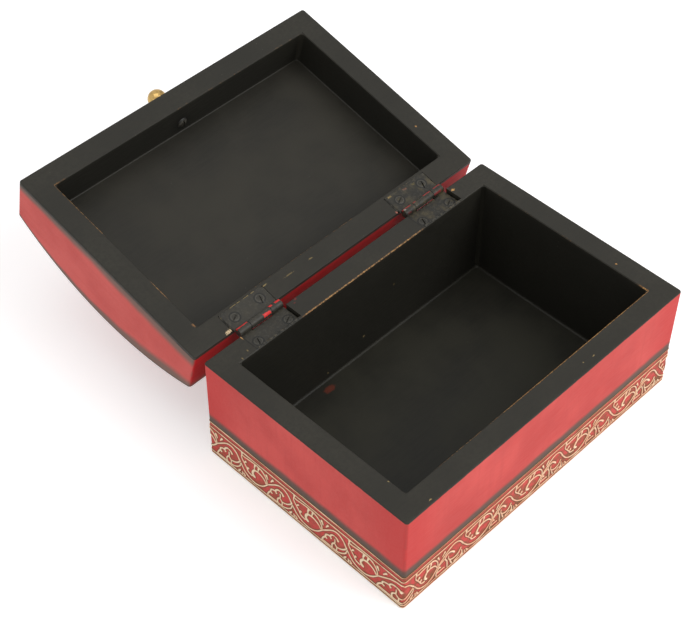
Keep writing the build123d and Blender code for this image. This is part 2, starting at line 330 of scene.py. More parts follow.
@dataclass
class SharedEffects:
    """Node groups that several finishes use, each built once."""

    outline: bpy.types.NodeTree = field(init=False)
    coat: bpy.types.NodeTree = field(init=False)
    rubbed: bpy.types.NodeTree = field(init=False)
    specks: bpy.types.NodeTree = field(init=False)
    lid_point: bpy.types.NodeTree = field(init=False)

    def __post_init__(self) -> None:
        """Build every group."""
        self.outline = self._build_outline()
        self.coat = self._build_coat()
        self.rubbed = self._build_rubbed()
        self.specks = self._build_specks()
        self.lid_point = self._build_lid_point()

    @staticmethod
    def _new(
        name: str, inputs: dict[str, GroupSocket], outputs: dict[str, GroupSocket]
    ) -> tuple[NodeNet, dict[str, Socket], dict[str, Socket]]:
        """Start a node group.

        Args:
            name: The group's name.
            inputs: Its inputs and their kinds.
            outputs: Its outputs and their kinds.

        Returns:
            The net to wire, the sockets to read, and the sockets to feed.
        """
        tree = bpy.data.node_groups.new(name, "ShaderNodeTree")
        for label, kind in inputs.items():
            tree.interface.new_socket(name=label, in_out="INPUT", socket_type=kind.value)
        for label, kind in outputs.items():
            tree.interface.new_socket(name=label, in_out="OUTPUT", socket_type=kind.value)
        net = NodeNet(tree)
        source = tree.nodes.new("NodeGroupInput")
        sink = tree.nodes.new("NodeGroupOutput")
        read = {label: source.outputs[label] for label in inputs}
        write = {label: sink.inputs[label] for label in outputs}
        return net, read, write

    def _build_outline(self) -> bpy.types.NodeTree:
        """Distance from an upright wall with rounded corners, negative inside it.

        Returns:
            The group, with the output Distance.
        """
        inputs = {"Point": GroupSocket.POINT, "Half Size": GroupSocket.POINT, "Radius": GroupSocket.NUMBER}
        net, read, write = self._new("Wall distance", inputs, {"Distance": GroupSocket.NUMBER})
        flat = net.vector("MULTIPLY", read["Point"], (1.0, 1.0, 0.0))
        radius = net.join(read["Radius"], read["Radius"], 0.0)
        core = net.vector("SUBTRACT", read["Half Size"], radius)
        past = net.vector("SUBTRACT", net.vector("ABSOLUTE", flat), core)
        x, y, _ = net.split(past)
        corner = net.length(net.join(net.math("MAXIMUM", x, 0.0), net.math("MAXIMUM", y, 0.0), 0.0))
        side = net.math("MINIMUM", net.math("MAXIMUM", x, y), 0.0)
        net.feed(write["Distance"], net.minus(net.plus(corner, side), read["Radius"]))
        return net.tree

    def _build_coat(self) -> bpy.types.NodeTree:
        """Hand-brushed paint over wood: clouding, brush marks and the height of both.

        Returns:
            The group, with the outputs Clouds, Marks and Height.
        """
        inputs = {"Point": GroupSocket.POINT, "Stretch": GroupSocket.POINT, "Grit": GroupSocket.NUMBER}
        outputs = {"Clouds": GroupSocket.NUMBER, "Marks": GroupSocket.NUMBER, "Height": GroupSocket.NUMBER}
        net, read, write = self._new("Brushed coat", inputs, outputs)
        clouds = net.noise(read["Point"], 28.0, 4.0, 0.55)
        drawn = net.vector("MULTIPLY", read["Point"], read["Stretch"])
        marks = net.noise(drawn, 900.0, 5.0, 0.6)
        dimples = net.noise(read["Point"], 1500.0, 2.0, 0.5)
        height = net.math("MULTIPLY_ADD", dimples, read["Grit"], marks)
        net.feed(write["Clouds"], net.remap(clouds, 0.3, 0.7))
        net.feed(write["Marks"], net.remap(marks, 0.32, 0.68))
        net.feed(write["Height"], height)
        return net.tree

    def _build_rubbed(self) -> bpy.types.NodeTree:
        """Paint rubbed away, or dark wax left, along an edge with a ragged limit.

        Returns:
            The group, with the output Mask.
        """
        inputs = {
            "Point": GroupSocket.POINT,
            "Distance": GroupSocket.NUMBER,
            "Width": GroupSocket.NUMBER,
            "Breaks": GroupSocket.NUMBER,
        }
        net, read, write = self._new("Rubbed edge", inputs, {"Mask": GroupSocket.NUMBER})
        ragged = net.noise(read["Point"], 1100.0, 4.0, 0.65)
        patches = net.noise(read["Point"], 95.0, 3.0, 0.6)
        spread = net.times(net.math("MULTIPLY_ADD", ragged, 1.6, 0.2), read["Width"])
        near = net.math("DIVIDE", net.minus(spread, read["Distance"]), spread)
        close = net.remap(near, 0.0, 0.55)
        kept = net.minus(patches, read["Breaks"])
        net.feed(write["Mask"], net.times(close, net.remap(kept, -0.04, 0.06)))
        return net.tree

    def _build_specks(self) -> bpy.types.NodeTree:
        """Small scattered chips.

        Returns:
            The group, with the output Mask.
        """
        inputs = {
            "Point": GroupSocket.POINT,
            "Density": GroupSocket.NUMBER,
            "Size": GroupSocket.NUMBER,
            "Share": GroupSocket.NUMBER,
        }
        net, read, write = self._new("Specks", inputs, {"Mask": GroupSocket.NUMBER})
        cells = net.node("ShaderNodeTexVoronoi", {"Vector": read["Point"], "Scale": read["Density"]})
        pick = net.split(cells.outputs["Color"])[0]
        chosen = net.math("LESS_THAN", pick, read["Share"])
        radius = net.times(net.noise(read["Point"], 1400.0, 2.0), read["Size"])
        inside = net.remap(net.minus(radius, cells.outputs["Distance"]), -0.01, 0.01)
        net.feed(write["Mask"], net.times(inside, chosen))
        return net.tree

    def _build_lid_point(self) -> bpy.types.NodeTree:
        """A point in the lid's own axes, centred on its rim, with the open side up.

        Returns:
            The group, with the output Point.
        """
        sockets = {"Point": GroupSocket.POINT}
        net, read, write = self._new("Lid point", sockets, sockets)
        inputs = {"Vector": read["Point"], "Center": tuple(SIZES.lid_edge), "Angle": -SIZES.lid_tilt}
        turned = net.node("ShaderNodeVectorRotate", inputs, rotation_type="X_AXIS").outputs[0]
        centre = SIZES.lid_edge + Vector((0.0, SIZES.half_width, 0.0))
        net.feed(write["Point"], net.vector("SUBTRACT", turned, tuple(centre)))
        return net.tree

    def brushed(
        self, net: NodeNet, point: Socket, stretch: tuple[float, float, float], grit: float
    ) -> bpy.types.Node:
        """Place the brushed coat, with its marks drawn out by the given stretch."""
        return net.group(self.coat, {"Point": point, "Stretch": stretch, "Grit": grit})

    def rub(self, net: NodeNet, point: Socket, distance: Socket, width: float, breaks: float) -> Socket:
        """Mask of a rubbed edge: its distance, its mean width and the share that stays whole."""
        inputs = {"Point": point, "Distance": distance, "Width": width, "Breaks": breaks}
        return net.group(self.rubbed, inputs).outputs["Mask"]

    def scatter(self, net: NodeNet, point: Socket, density: float, size: float, share: float) -> Socket:
        """Mask of scattered chips: cells in a metre, size within a cell, and share of the cells."""
        inputs = {"Point": point, "Density": density, "Size": size, "Share": share}
        return net.group(self.specks, inputs).outputs["Mask"]

    def wall_distance(self, net: NodeNet, point: Socket, inset: float, radius: float) -> Socket:
        """Distance from the upright wall that lies a given inset inside the box's outside.

        Args:
            net: The material's net.
            point: The shaded point.
            inset: How far the wall lies inside the box's outside.
            radius: Radius of its upright corners.

        Returns:
            The distance, negative inside the wall.
        """
        half = (SIZES.half_length - inset, SIZES.half_width - inset, 0.0)
        inputs = {"Point": point, "Half Size": half, "Radius": radius}
        return net.group(self.outline, inputs).outputs["Distance"]

    def in_lid(self, net: NodeNet) -> Socket:
        """The shaded point in the lid's own axes."""
        return net.group(self.lid_point, {"Point": net.place()}).outputs["Point"]


BLACK: Colour = (0.004, 0.004, 0.003)


@dataclass(frozen=True)
class RedPaint:
    """Red outside paint, dabbed on unevenly, with dark wax sprayed and rubbed over it."""

    light: Colour = (0.68, 0.088, 0.078)
    deep: Colour = (0.55, 0.056, 0.050)
    ground: Colour = (0.66, 0.076, 0.066)
    # Deeper red towards the upright edges
    darkened: Colour = (0.57, 0.038, 0.035)
    wax: Colour = (0.078, 0.066, 0.050)
    # Greenish-brown dirt, also painted as shadow beside the raised lines and as shade on the front face
    olive_grime_and_shade: Colour = (0.175, 0.082, 0.026)
    # Deep red painted as shade on the back faces, in the gap between the base and the open lid
    painted_shade: Colour = (0.50, 0.004, 0.006)
    roughness: float = 0.56


@dataclass(frozen=True)
class BlackPaint:
    """Thin black paint on the rims and inside, dark warm grey where it is brushed out."""

    light: Colour = (0.0265, 0.0240, 0.0175)
    deep: Colour = (0.0150, 0.0138, 0.0100)
    inside: Colour = (0.0085, 0.0082, 0.0060)
    dust: Colour = (0.085, 0.075, 0.058)
    roughness: float = 0.5
    shine: float = 0.25


@dataclass(frozen=True)
class BareWood:
    """Pale wood that shows where an edge is rubbed through."""

    fresh: Colour = (0.56, 0.30, 0.10)
    dull: Colour = (0.33, 0.15, 0.045)


@dataclass(frozen=True)
class WornStretch:
    """A stretch of a rim's inner edge that is rubbed down to the wood.

    The middle and the half size are in millimetres in the rim's own plane, centred on the box.
    """

    middle: tuple[float, float]
    half_size: tuple[float, float]
    strength: float

    def limits(self, axis: int) -> tuple[float, float]:
        """Where the stretch starts and ends along an axis, in metres."""
        middle, half = self.middle[axis] * MM, self.half_size[axis] * MM
        return middle - half, middle + half

    @property
    def width(self) -> float:
        """Mean width of the bared wood."""
        return (0.3 + 0.3 * self.strength) * MM

    @property
    def breaks(self) -> float:
        """Share of the stretch that keeps its paint."""
        return 0.62 - 0.4 * self.strength


@dataclass(frozen=True)
class Chip:
    """A fleck of wood or stray paint, or a patch of painted shadow, in millimetres in the rim's own axes."""

    place: tuple[float, float, float]
    reach: tuple[float, float, float]
    colour: Colour
    strength: float = 0.85


@dataclass(frozen=True)
class BorderLine:
    """A gilt line round the whole foot: its depth below the rim, and its form.

    The share is of a plain line's width, and the front face takes the wear off it.
    """

    name: str
    depth: float
    share: float = 1.0
    front_wear: float = 0.0
    foot_width: float = 0.62 * MM


@dataclass(frozen=True)
class BorderHeights:
    """Depths of the border's parts below the rim of the base."""

    band_top: float = 33.4 * MM
    band_foot: float = 38.3 * MM
    vine_top: float = 41.75 * MM
    vine_foot: float = 58.75 * MM
    lines: tuple[BorderLine, ...] = (
        BorderLine("band_line", 38.6 * MM, share=0.85, front_wear=0.25),
        BorderLine("vine_top_line", vine_top),
        BorderLine("vine_foot_line", vine_foot),
        BorderLine("foot_line", 60.3 * MM, share=0.85, foot_width=0.2 * MM),
    )


@dataclass
class BoardSpot:
    """What a board's finish knows about the place that it colours.

    The point is centred on the rim, with its height out of the open side as the third part.
    """

    net: NodeNet
    point: Socket
    x: Socket
    across: Socket
    below: Socket
    outer: Socket
    inner: Socket
    past_rim: Socket
    coat: bpy.types.Node


@dataclass
class CoatedBoards:
    """The paint on a set of boards: red outside, black on the rim and inside."""

    effects: SharedEffects
    name: str
    wall: float
    worn: tuple[WornStretch, ...]
    red: RedPaint = RedPaint()
    black: BlackPaint = BlackPaint()
    wood: BareWood = BareWood()
    chips: tuple[Chip, ...] = ()
    border: BorderHeights = BorderHeights()
    black_overlap: float = 0.45 * MM
    boundary_wobble: float = 0.18 * MM
    boundary_softness: float = 0.12 * MM
    darkened_reach: tuple[float, float] = (3.0 * MM, 26.0 * MM)
    worn_fade: float = 6.0 * MM
    coat_depth: float = 0.12 * MM
    face_depth: tuple[float, float] = (-0.45 * MM, -0.25 * MM)

    def build(self) -> bpy.types.Material:
        """Make the material.

        Returns:
            The material for the boards.
        """
        material, net, shader = new_material(self.name)
        spot = self.find_spot(net)
        outside = self.outside_mask(spot)
        black = self.rub_rim(spot, self.black_colour(spot))
        colour = net.mix(outside, black, self.red_colour(spot))
        net.feed(shader.inputs["Base Color"], self.add_chips(spot, colour))
        dull = net.blend(outside, self.black.roughness, self.red.roughness)
        rough = net.math("MULTIPLY_ADD", spot.coat.outputs["Marks"], 0.1, dull)
        net.feed(shader.inputs["Roughness"], rough)
        shader.inputs["Specular IOR Level"].default_value = self.black.shine
        height = net.times(spot.coat.outputs["Height"], net.blend(outside, 0.5, 0.25))
        net.bump(shader, 0.6, self.coat_depth, height)
        return material

    def find_spot(self, net: NodeNet) -> BoardSpot:
        """Measure where on the box a shaded point lies.

        Args:
            net: The material's net.

        Returns:
            The point with its distances.
        """
        point = self.rim_point(net)
        x, across, up = net.split(point)
        below = net.times(up, -1.0)
        outer = self.effects.wall_distance(net, point, 0.0, SIZES.corner_radius)
        return BoardSpot(
            net=net,
            point=point,
            x=x,
            across=across,
            below=below,
            outer=outer,
            inner=self.effects.wall_distance(net, point, self.wall, 0.0),
            past_rim=net.plus(below, net.math("MAXIMUM", outer, -5.0 * MM)),
            coat=self.effects.brushed(net, point, (0.12, 1.0, 1.0), 0.35),
        )

    def rim_point(self, net: NodeNet) -> Socket:
        """A point centred on the rim, with its height above the rim as the third part."""
        return net.vector("SUBTRACT", net.place(), (0.0, 0.0, SIZES.base_height))

    def outside_mask(self, spot: BoardSpot) -> Socket:
        """1 where the red paint is, from a wavering line just past the rim's rounded edge.

        Args:
            spot: The shaded place.

        Returns:
            The mask.
        """
        net = spot.net
        wobble = net.minus(net.noise(spot.point, 160.0, 3.0, 0.6), 0.5)
        line = net.math("MULTIPLY_ADD", wobble, 2 * self.boundary_wobble, spot.past_rim)
        start = self.black_overlap - self.boundary_softness
        end = self.black_overlap + self.boundary_softness
        return net.times(net.remap(line, start, end), self.skin_mask(spot))

    def skin_mask(self, spot: BoardSpot) -> Socket:
        """1 on the outer faces and 0 on the underside and inside.

        Args:
            spot: The shaded place.

        Returns:
            The mask.
        """
        net = spot.net
        above_foot = net.plus(net.minus(SIZES.base_height, spot.below), spot.outer)
        near_face = net.remap(spot.outer, *self.face_depth)
        return net.times(near_face, net.remap(above_foot, -0.5 * MM, -0.1 * MM))

    def black_colour(self, spot: BoardSpot) -> Socket:
        """The black paint, clouded, mottled and brushed thin, and darker below the rim.

        Args:
            spot: The shaded place.

        Returns:
            The colour.
        """
        net, light, deep = spot.net, self.black.light, self.black.deep
        black = net.mix(spot.coat.outputs["Clouds"], deep, light)
        mottle = net.remap(net.noise(spot.point, 480.0, 4.0, 0.7), 0.40, 0.62, 0.0, 0.7)
        black = net.mix(mottle, black, deep)
        black = net.mix(net.times(spot.coat.outputs["Marks"], 0.4), black, light)
        return net.mix(net.remap(spot.below, 0.6 * MM, 2.5 * MM, 0.0, 0.6), black, self.black.inside)

    def plain_red(self, spot: BoardSpot, stretch: tuple[float, float, float]) -> Socket:
        """The red paint, clouded and with brush streaks.

        Args:
            spot: The shaded place.
            stretch: How the streaks are drawn out along the three axes.

        Returns:
            The colour.
        """
        net = spot.net
        colour = net.mix(spot.coat.outputs["Clouds"], self.red.deep, self.red.light)
        streaks = net.noise(net.vector("MULTIPLY", spot.point, stretch), 420.0, 4.0, 0.6)
        return net.mix(net.times(net.remap(streaks, 0.45, 0.75), 0.35), colour, self.red.deep)

    def red_colour(self, spot: BoardSpot) -> Socket:
        """The outside's colour, with the sprayed band and the ground of the vine.

        Args:
            spot: The shaded place.

        Returns:
            The colour.
        """
        net = spot.net
        colour = self.plain_red(spot, (1.0, 1.0, 0.06))
        upright = self.upright_edge(spot)
        # Deeper red near the upright edges
        colour = net.mix(net.remap(upright, *self.darkened_reach, 0.75, 0.0), colour, self.red.darkened)
        # Painted shade: the base's back face is deep red, as in the gap under the open lid
        behind = net.remap(spot.across, SIZES.half_width - 0.8 * MM, SIZES.half_width - 0.2 * MM)
        colour = net.mix(net.times(behind, 0.9), colour, self.red.painted_shade)
        spray = net.minus(net.noise(spot.point, 60.0), 0.5)
        depth = net.math("MULTIPLY_ADD", spray, 2.5 * MM, spot.below)
        colour = net.mix(self.band_mask(spot, depth), colour, self.red.wax)
        colour = self.stain_ground(spot, depth, colour)
        colour = self.wax_edge(spot, colour, upright, 0.4 * MM, 0.42, 0.12)
        return self.wax_edge(spot, colour, spot.past_rim, 0.9 * MM, 0.42)

    def band_mask(self, spot: BoardSpot, depth: Socket) -> Socket:
        """The dark band over the border, soft at its top and cut off at its foot.

        Args:
            spot: The shaded place.
            depth: Its depth below the rim, made uneven by the spray.

        Returns:
            How much of the red it hides.
        """
        net, top, foot = spot.net, self.border.band_top, self.border.band_foot
        cloud = net.remap(depth, top - 1.6 * MM, top + 1.8 * MM)
        cut = net.remap(spot.below, foot - 0.1 * MM, foot + 0.1 * MM, 1.0, 0.0)
        return net.times(net.times(cloud, cut), net.remap(spot.below, top, foot, 0.86, 1.0))

    def stain_ground(self, spot: BoardSpot, depth: Socket, colour: Socket) -> Socket:
        """The ground of the vine: red smeared with greenish-brown dirt and painted shade, darker beside the
        lines and low down.

        Args:
            spot: The shaded place.
            depth: Its depth below the rim, made uneven by the spray.
            colour: The red above it.

        Returns:
            The colour.
        """
        net, point, below, olive_grime_and_shade = spot.net, spot.point, spot.below, self.red.olive_grime_and_shade
        band_foot, vine_foot = self.border.band_foot, self.border.vine_foot
        ground = net.remap(below, band_foot, band_foot + 0.2 * MM, 0.0, 0.8)
        colour = net.mix(ground, colour, net.mix(spot.coat.outputs["Marks"], self.red.ground, self.red.deep))
        smear = net.remap(net.noise(point, 260.0, 3.0, 0.6), 0.38, 0.64, 0.0, 0.62)
        smear = net.times(smear, net.remap(below, 47.0 * MM, 57.0 * MM, 0.8, 1.35))
        # Painted shade: the smear is heavier on the front face and lighter on the other sides
        front = -SIZES.half_width
        smear = net.times(smear, net.remap(spot.across, front + 0.2 * MM, front + 1.0 * MM, 1.5, 0.8))
        colour = net.mix(net.times(ground, smear), colour, olive_grime_and_shade)
        ragged = net.remap(net.noise(point, 400.0), 0.35, 0.65, 0.2, 0.9)
        # Along each raised line, reaching a little further below it: wax and painted shadow
        for line in self.border.lines:
            shade = net.window(below, line.depth - 0.9 * MM, line.depth + 1.1 * MM, 0.6 * MM)
            colour = net.mix(net.times(shade, ragged), colour, olive_grime_and_shade)
        stain = net.plus(depth, net.times(net.noise(point, 300.0), 0.8 * MM))
        return net.mix(net.remap(stain, vine_foot + 0.9 * MM, vine_foot + 1.7 * MM, 0.0, 0.5), colour, olive_grime_and_shade)

    def upright_edge(self, spot: BoardSpot) -> Socket:
        """Distance from the nearest of the body's four upright edges.

        Args:
            spot: The shaded place.

        Returns:
            The distance.
        """
        net = spot.net
        x = net.minus(net.math("ABSOLUTE", spot.x), SIZES.half_length)
        across = net.minus(net.math("ABSOLUTE", spot.across), SIZES.half_width)
        rounding = (math.sqrt(2.0) - 1.0) * SIZES.corner_radius
        return net.minus(net.length(net.join(x, across, 0.0)), rounding)

    def wax_edge(
        self,
        spot: BoardSpot,
        colour: Socket,
        distance: Socket,
        width: float,
        breaks: float,
        amount: float = 0.8,
    ) -> Socket:
        """Dark wax left along an edge.

        Args:
            spot: The shaded place.
            colour: The colour that gets the wax.
            distance: Distance from the edge.
            width: Mean width of the wax.
            breaks: Share of the edge that stays bare.
            amount: How much of the paint it hides.

        Returns:
            The colour.
        """
        net = spot.net
        edge = self.effects.rub(net, spot.point, distance, width, breaks)
        return net.mix(net.times(edge, amount), colour, self.red.wax)

    def rub_rim(self, spot: BoardSpot, black: Socket) -> Socket:
        """Wood shown along the rim's inner edge where hands and the lid have rubbed it.

        Args:
            spot: The shaded place.
            black: The black paint's colour.

        Returns:
            The colour with the worn edge, dust and flecks.
        """
        net, point = spot.net, spot.point
        from_edge = net.plus(net.math("ABSOLUTE", spot.inner), net.math("ABSOLUTE", spot.below))
        wood = net.mix(net.remap(net.noise(point, 600.0, 3.0), 0.35, 0.65), self.wood.dull, self.wood.fresh)
        for stretch in self.worn:
            along = net.window(spot.x, *stretch.limits(0), self.worn_fade)
            beside = net.window(spot.across, *stretch.limits(1), self.worn_fade)
            edge = self.effects.rub(net, point, from_edge, stretch.width, stretch.breaks)
            black = net.mix(net.times(net.times(along, beside), edge), black, wood)
        dust = self.effects.scatter(net, point, 330.0, 0.16, 0.05)
        black = net.mix(net.times(dust, 0.5), black, self.black.dust)
        flecks = self.effects.scatter(net, point, 110.0, 0.1, 0.06)
        return net.mix(net.times(flecks, 0.7), black, wood)

    def add_chips(self, spot: BoardSpot, colour: Socket) -> Socket:
        """Flecks, and patches of painted shadow, at their places, each with a ragged outline.

        Args:
            spot: The shaded place.
            colour: The colour that gets them.

        Returns:
            The colour.
        """
        net = spot.net
        ragged = net.noise(spot.point, 1700.0, 4.0, 0.7)
        for chip in self.chips:
            away = net.vector("SUBTRACT", spot.point, tuple(part * MM for part in chip.place))
            distance = net.length(net.vector("DIVIDE", away, tuple(part * MM for part in chip.reach)))
            limit = net.math("MULTIPLY_ADD", ragged, 3.0, distance)
            colour = net.mix(net.remap(limit, 1.9, 2.4, chip.strength, 0.0), colour, chip.colour)
        return colour


@dataclass
class CoatedLidBoards(CoatedBoards):
    """The paint on the lid's rails and top board, in the lid's own axes."""

    black_overlap: float = 2.1 * MM
    boundary_softness: float = 1.2 * MM
    rim_spray: tuple[float, float] = (10.6 * MM, 8.0 * MM)
    arc_spray: tuple[float, float] = (10.6 * MM, 2.4 * MM)
    corner_reach: float = 16.0 * MM
    corner_shift: float = 3.0 * MM
    spray_share: float = 0.86
    arc_line: Colour = (0.040, 0.034, 0.026)

    def rim_point(self, net: NodeNet) -> Socket:
        """A point centred on the lid's rim, with its height out of the open side as the third part."""
        return self.effects.in_lid(net)

    def under_dome(self, spot: BoardSpot) -> Socket:
        """Depth of a point under the dome's outer face.

        Args:
            spot: The shaded place.

        Returns:
            The depth.
        """
        net = spot.net
        centre = SIZES.dome_radius - SIZES.lid_crown_depth
        arm = net.join(0.0, spot.across, net.plus(spot.below, centre))
        return net.minus(SIZES.dome_radius, net.length(arm))

    def skin_mask(self, spot: BoardSpot) -> Socket:
        """1 on the outer faces and the dome, and 0 inside.

        Args:
            spot: The shaded place.

        Returns:
            The mask.
        """
        net = spot.net
        near_face = net.remap(spot.outer, *self.face_depth)
        near_dome = net.remap(self.under_dome(spot), 1.0 * MM, 2.0 * MM, 1.0, 0.0)
        return net.math("MAXIMUM", near_face, near_dome)

    def red_colour(self, spot: BoardSpot) -> Socket:
        """The outside's colour, with dark wax along the rim and along the dome's edges.

        Args:
            spot: The shaded place.

        Returns:
            The colour.
        """
        net, back = spot.net, -SIZES.half_width
        colour = self.plain_red(spot, (1.0, 0.06, 1.0))
        under = self.under_dome(spot)
        past_arc = net.minus(under, spot.outer)
        spread = net.math("MULTIPLY_ADD", net.noise(spot.point, 55.0), 4.0 * MM, past_arc)
        on_dome = net.remap(under, 0.2 * MM, 0.5 * MM, 1.0, 0.0)
        spray = net.times(net.remap(spread, 3.0 * MM, 8.0 * MM, 0.85, 0.0), on_dome)
        colour = net.mix(spray, colour, self.red.wax)
        colour = self.spray_edge(spot, colour, spot.past_rim, self.rim_spray)
        at_corner = net.remap(spot.across, back, back + self.corner_reach, self.corner_shift, 0.0)
        colour = self.spray_edge(spot, colour, net.plus(past_arc, at_corner), self.arc_spray)
        colour = net.mix(net.remap(past_arc, 0.3 * MM, 1.9 * MM, 0.7, 0.0), colour, self.arc_line)
        # Painted shade: the lid's back face is deep red up to 19 mm from the rim, and less over the dome
        behind = net.remap(spot.across, back + 0.2 * MM, back + 0.8 * MM, 1.0, 0.0)
        painted_shade = net.times(behind, net.remap(spot.below, 19.0 * MM, 25.0 * MM, 1.0, 0.3))
        colour = net.mix(painted_shade, colour, self.red.painted_shade)
        colour = self.wax_edge(spot, colour, past_arc, 1.6 * MM, 0.25, 0.3)
        return self.wax_edge(spot, colour, self.upright_edge(spot), 0.3 * MM, 0.5, 0.25)

    def spray_edge(
        self, spot: BoardSpot, colour: Socket, distance: Socket, reaches: tuple[float, float]
    ) -> Socket:
        """Dark wax sprayed softly along an edge.

        Args:
            spot: The shaded place.
            colour: The colour that gets the wax.
            distance: Distance from the edge.
            reaches: How far it reaches at the lid's back and at its front.

        Returns:
            The colour.
        """
        net = spot.net
        reach = net.remap(spot.across, -SIZES.half_width, SIZES.half_width, *reaches)
        cloud = net.minus(net.noise(spot.point, 70.0), 0.5)
        share = net.math("DIVIDE", net.math("MULTIPLY_ADD", cloud, 3.0 * MM, distance), reach)
        return net.mix(net.remap(share, 0.40, 0.90, self.spray_share, 0.0), colour, self.red.wax)


@dataclass
class BlackPanel:
    """Black paint on the flat panels, with broad brush marks and a little dust."""

    effects: SharedEffects
    name: str
    on_lid: bool
    black: BlackPaint = BlackPaint()
    smudge: Colour = (0.10, 0.022, 0.012)
    smudge_place: tuple[float, float] = (-29.5 * MM, 44.0 * MM)
    dust: Colour = (0.10, 0.095, 0.085)

    def build(self) -> bpy.types.Material:
        """Make the material.

        Returns:
            The material for the panel.
        """
        material, net, shader = new_material(self.name)
        point = self.effects.in_lid(net) if self.on_lid else net.place()
        coat = self.effects.brushed(net, point, (0.1, 1.0, 1.0), 0.5)
        colour = net.mix(coat.outputs["Clouds"], self.black.deep, self.black.light)
        colour = net.mix(net.times(coat.outputs["Marks"], 0.3), colour, self.black.light)
        if not self.on_lid:
            colour = self.add_smudge(net, point, colour)
        grains = self.effects.scatter(net, point, 160.0, 0.07, 0.12)
        net.feed(shader.inputs["Base Color"], net.mix(net.times(grains, 0.5), colour, self.dust))
        rough = net.math("MULTIPLY_ADD", coat.outputs["Clouds"], 0.08, self.black.roughness)
        net.feed(shader.inputs["Roughness"], rough)
        shader.inputs["Specular IOR Level"].default_value = self.black.shine
        net.bump(shader, 0.4, 0.12 * MM, coat.outputs["Height"])
        return material

    def add_smudge(self, net: NodeNet, point: Socket, colour: Socket) -> Socket:
        """A faint red smear of the outside's paint on the floor.

        Args:
            net: The material's net.
            point: The shaded point.
            colour: The black paint's colour.

        Returns:
            The colour.
        """
        place = net.vector("SUBTRACT", point, (*self.smudge_place, SIZES.floor_height))
        spread = net.length(net.vector("MULTIPLY", place, (1.0, 1.8, 1.0)))
        ragged = net.math("MULTIPLY_ADD", net.noise(point, 700.0, 4.0), -3.0 * MM, spread)
        return net.mix(net.remap(ragged, 0.5 * MM, 2.5 * MM, 0.9, 0.0), colour, self.smudge)


@dataclass(frozen=True)
class PaintPatch:
    """A dab of another paint, as a box with ragged sides."""

    middle: Vector
    half_size: tuple[float, float, float]
    colour: Colour
    strength: float = 1.0


@dataclass(frozen=True)
class ScrewMark:
    """Where a screw's head lies: a point on its axis, and the axis."""

    middle: Vector
    axis: Vector
    radius: float = 2.2 * MM


@dataclass
class PaintedHinge:
    """Black paint over steel, with red and gilt dabs, and painted highlight and shade, rubbed and grimy,
    round the screw heads.
    """

    effects: SharedEffects
    name: str
    patches: tuple[PaintPatch, ...]
    screws: tuple[ScrewMark, ...] = ()
    gilding: float = 0.0
    black: BlackPaint = BlackPaint()
    # Lighter grey of brushed-out paint; on the screw heads' rims it is rub and painted highlight
    rubbed: Colour = (0.068, 0.064, 0.052)
    grime_and_shade: Colour = BLACK
    gold: Colour = (0.075, 0.060, 0.030)

    def build(self) -> bpy.types.Material:
        """Make the material.

        Returns:
            The material for a hinge's leaves, pin and screws.
        """
        material, net, shader = new_material(self.name)
        point = net.place()
        coat = self.effects.brushed(net, point, (1.0, 1.0, 1.0), 0.6)
        colour = net.mix(coat.outputs["Clouds"], self.black.deep, self.black.light)
        colour = net.mix(net.remap(coat.outputs["Marks"], 0.55, 1.0, 0.0, 0.4), colour, self.rubbed)
        smear = net.remap(net.noise(point, 210.0, 5.0, 0.65), 0.42, 0.74, 0.0, self.gilding)
        colour = net.mix(smear, colour, self.gold)
        ragged = net.noise(point, 1300.0, 3.0, 0.6)
        for screw in self.screws:
            arm = net.vector("SUBTRACT", point, tuple(screw.middle))
            distance = net.length(net.vector("CROSS_PRODUCT", arm, tuple(screw.axis)))
            # Lighter rim on each screw head: rubbed paint and painted highlight
            rim = net.window(distance, 0.72 * screw.radius, 0.95 * screw.radius, 0.25 * MM)
            colour = net.mix(net.times(rim, ragged), colour, self.rubbed)
            # Dark ring round each screw head: dirt and painted shadow at its edge
            ring = net.window(distance, screw.radius, 1.32 * screw.radius, 0.25 * MM)
            colour = net.mix(net.times(ring, 0.85), colour, self.grime_and_shade)
        for patch in self.patches:
            away = net.vector("ABSOLUTE", net.vector("SUBTRACT", point, tuple(patch.middle)))
            x, y, z = net.split(net.vector("SUBTRACT", away, patch.half_size))
            past = net.math("MAXIMUM", net.math("MAXIMUM", x, y), z)
            edge = net.math("MULTIPLY_ADD", ragged, 1.2 * MM, past)
            share = net.remap(edge, 0.35 * MM, 0.7 * MM, patch.strength, 0.0)
            colour = net.mix(share, colour, patch.colour)
        net.feed(shader.inputs["Base Color"], colour)
        net.feed(shader.inputs["Roughness"], net.remap(coat.outputs["Marks"], 0.0, 1.0, 0.38, 0.6))
        shader.inputs["Specular IOR Level"].default_value = 1.3 * self.black.shine
        net.bump(shader, 0.6, 0.15 * MM, coat.outputs["Height"])
        return material


@dataclass
class TurnedBrass:
    """Lacquered brass with fine turning marks and dull spots."""

    effects: SharedEffects
    name: str = "turned_brass"
    bright: Colour = (0.52, 0.345, 0.125)
    dull: Colour = (0.25, 0.155, 0.052)

    def build(self) -> bpy.types.Material:
        """Make the material.

        Returns:
            The material for the knob.
        """
        material, net, shader = new_material(self.name)
        point = self.effects.in_lid(net)
        tarnish = net.remap(net.noise(point, 380.0, 3.0, 0.6), 0.45, 0.7)
        net.feed(shader.inputs["Base Color"], net.mix(tarnish, self.bright, self.dull))
        shader.inputs["Metallic"].default_value = 1.0
        net.feed(shader.inputs["Roughness"], net.blend(tarnish, 0.2, 0.36))
        turning = net.noise(net.vector("MULTIPLY", point, (0.05, 1.0, 0.05)), 4200.0)
        net.bump(shader, 0.15, 0.03 * MM, turning)
        return material


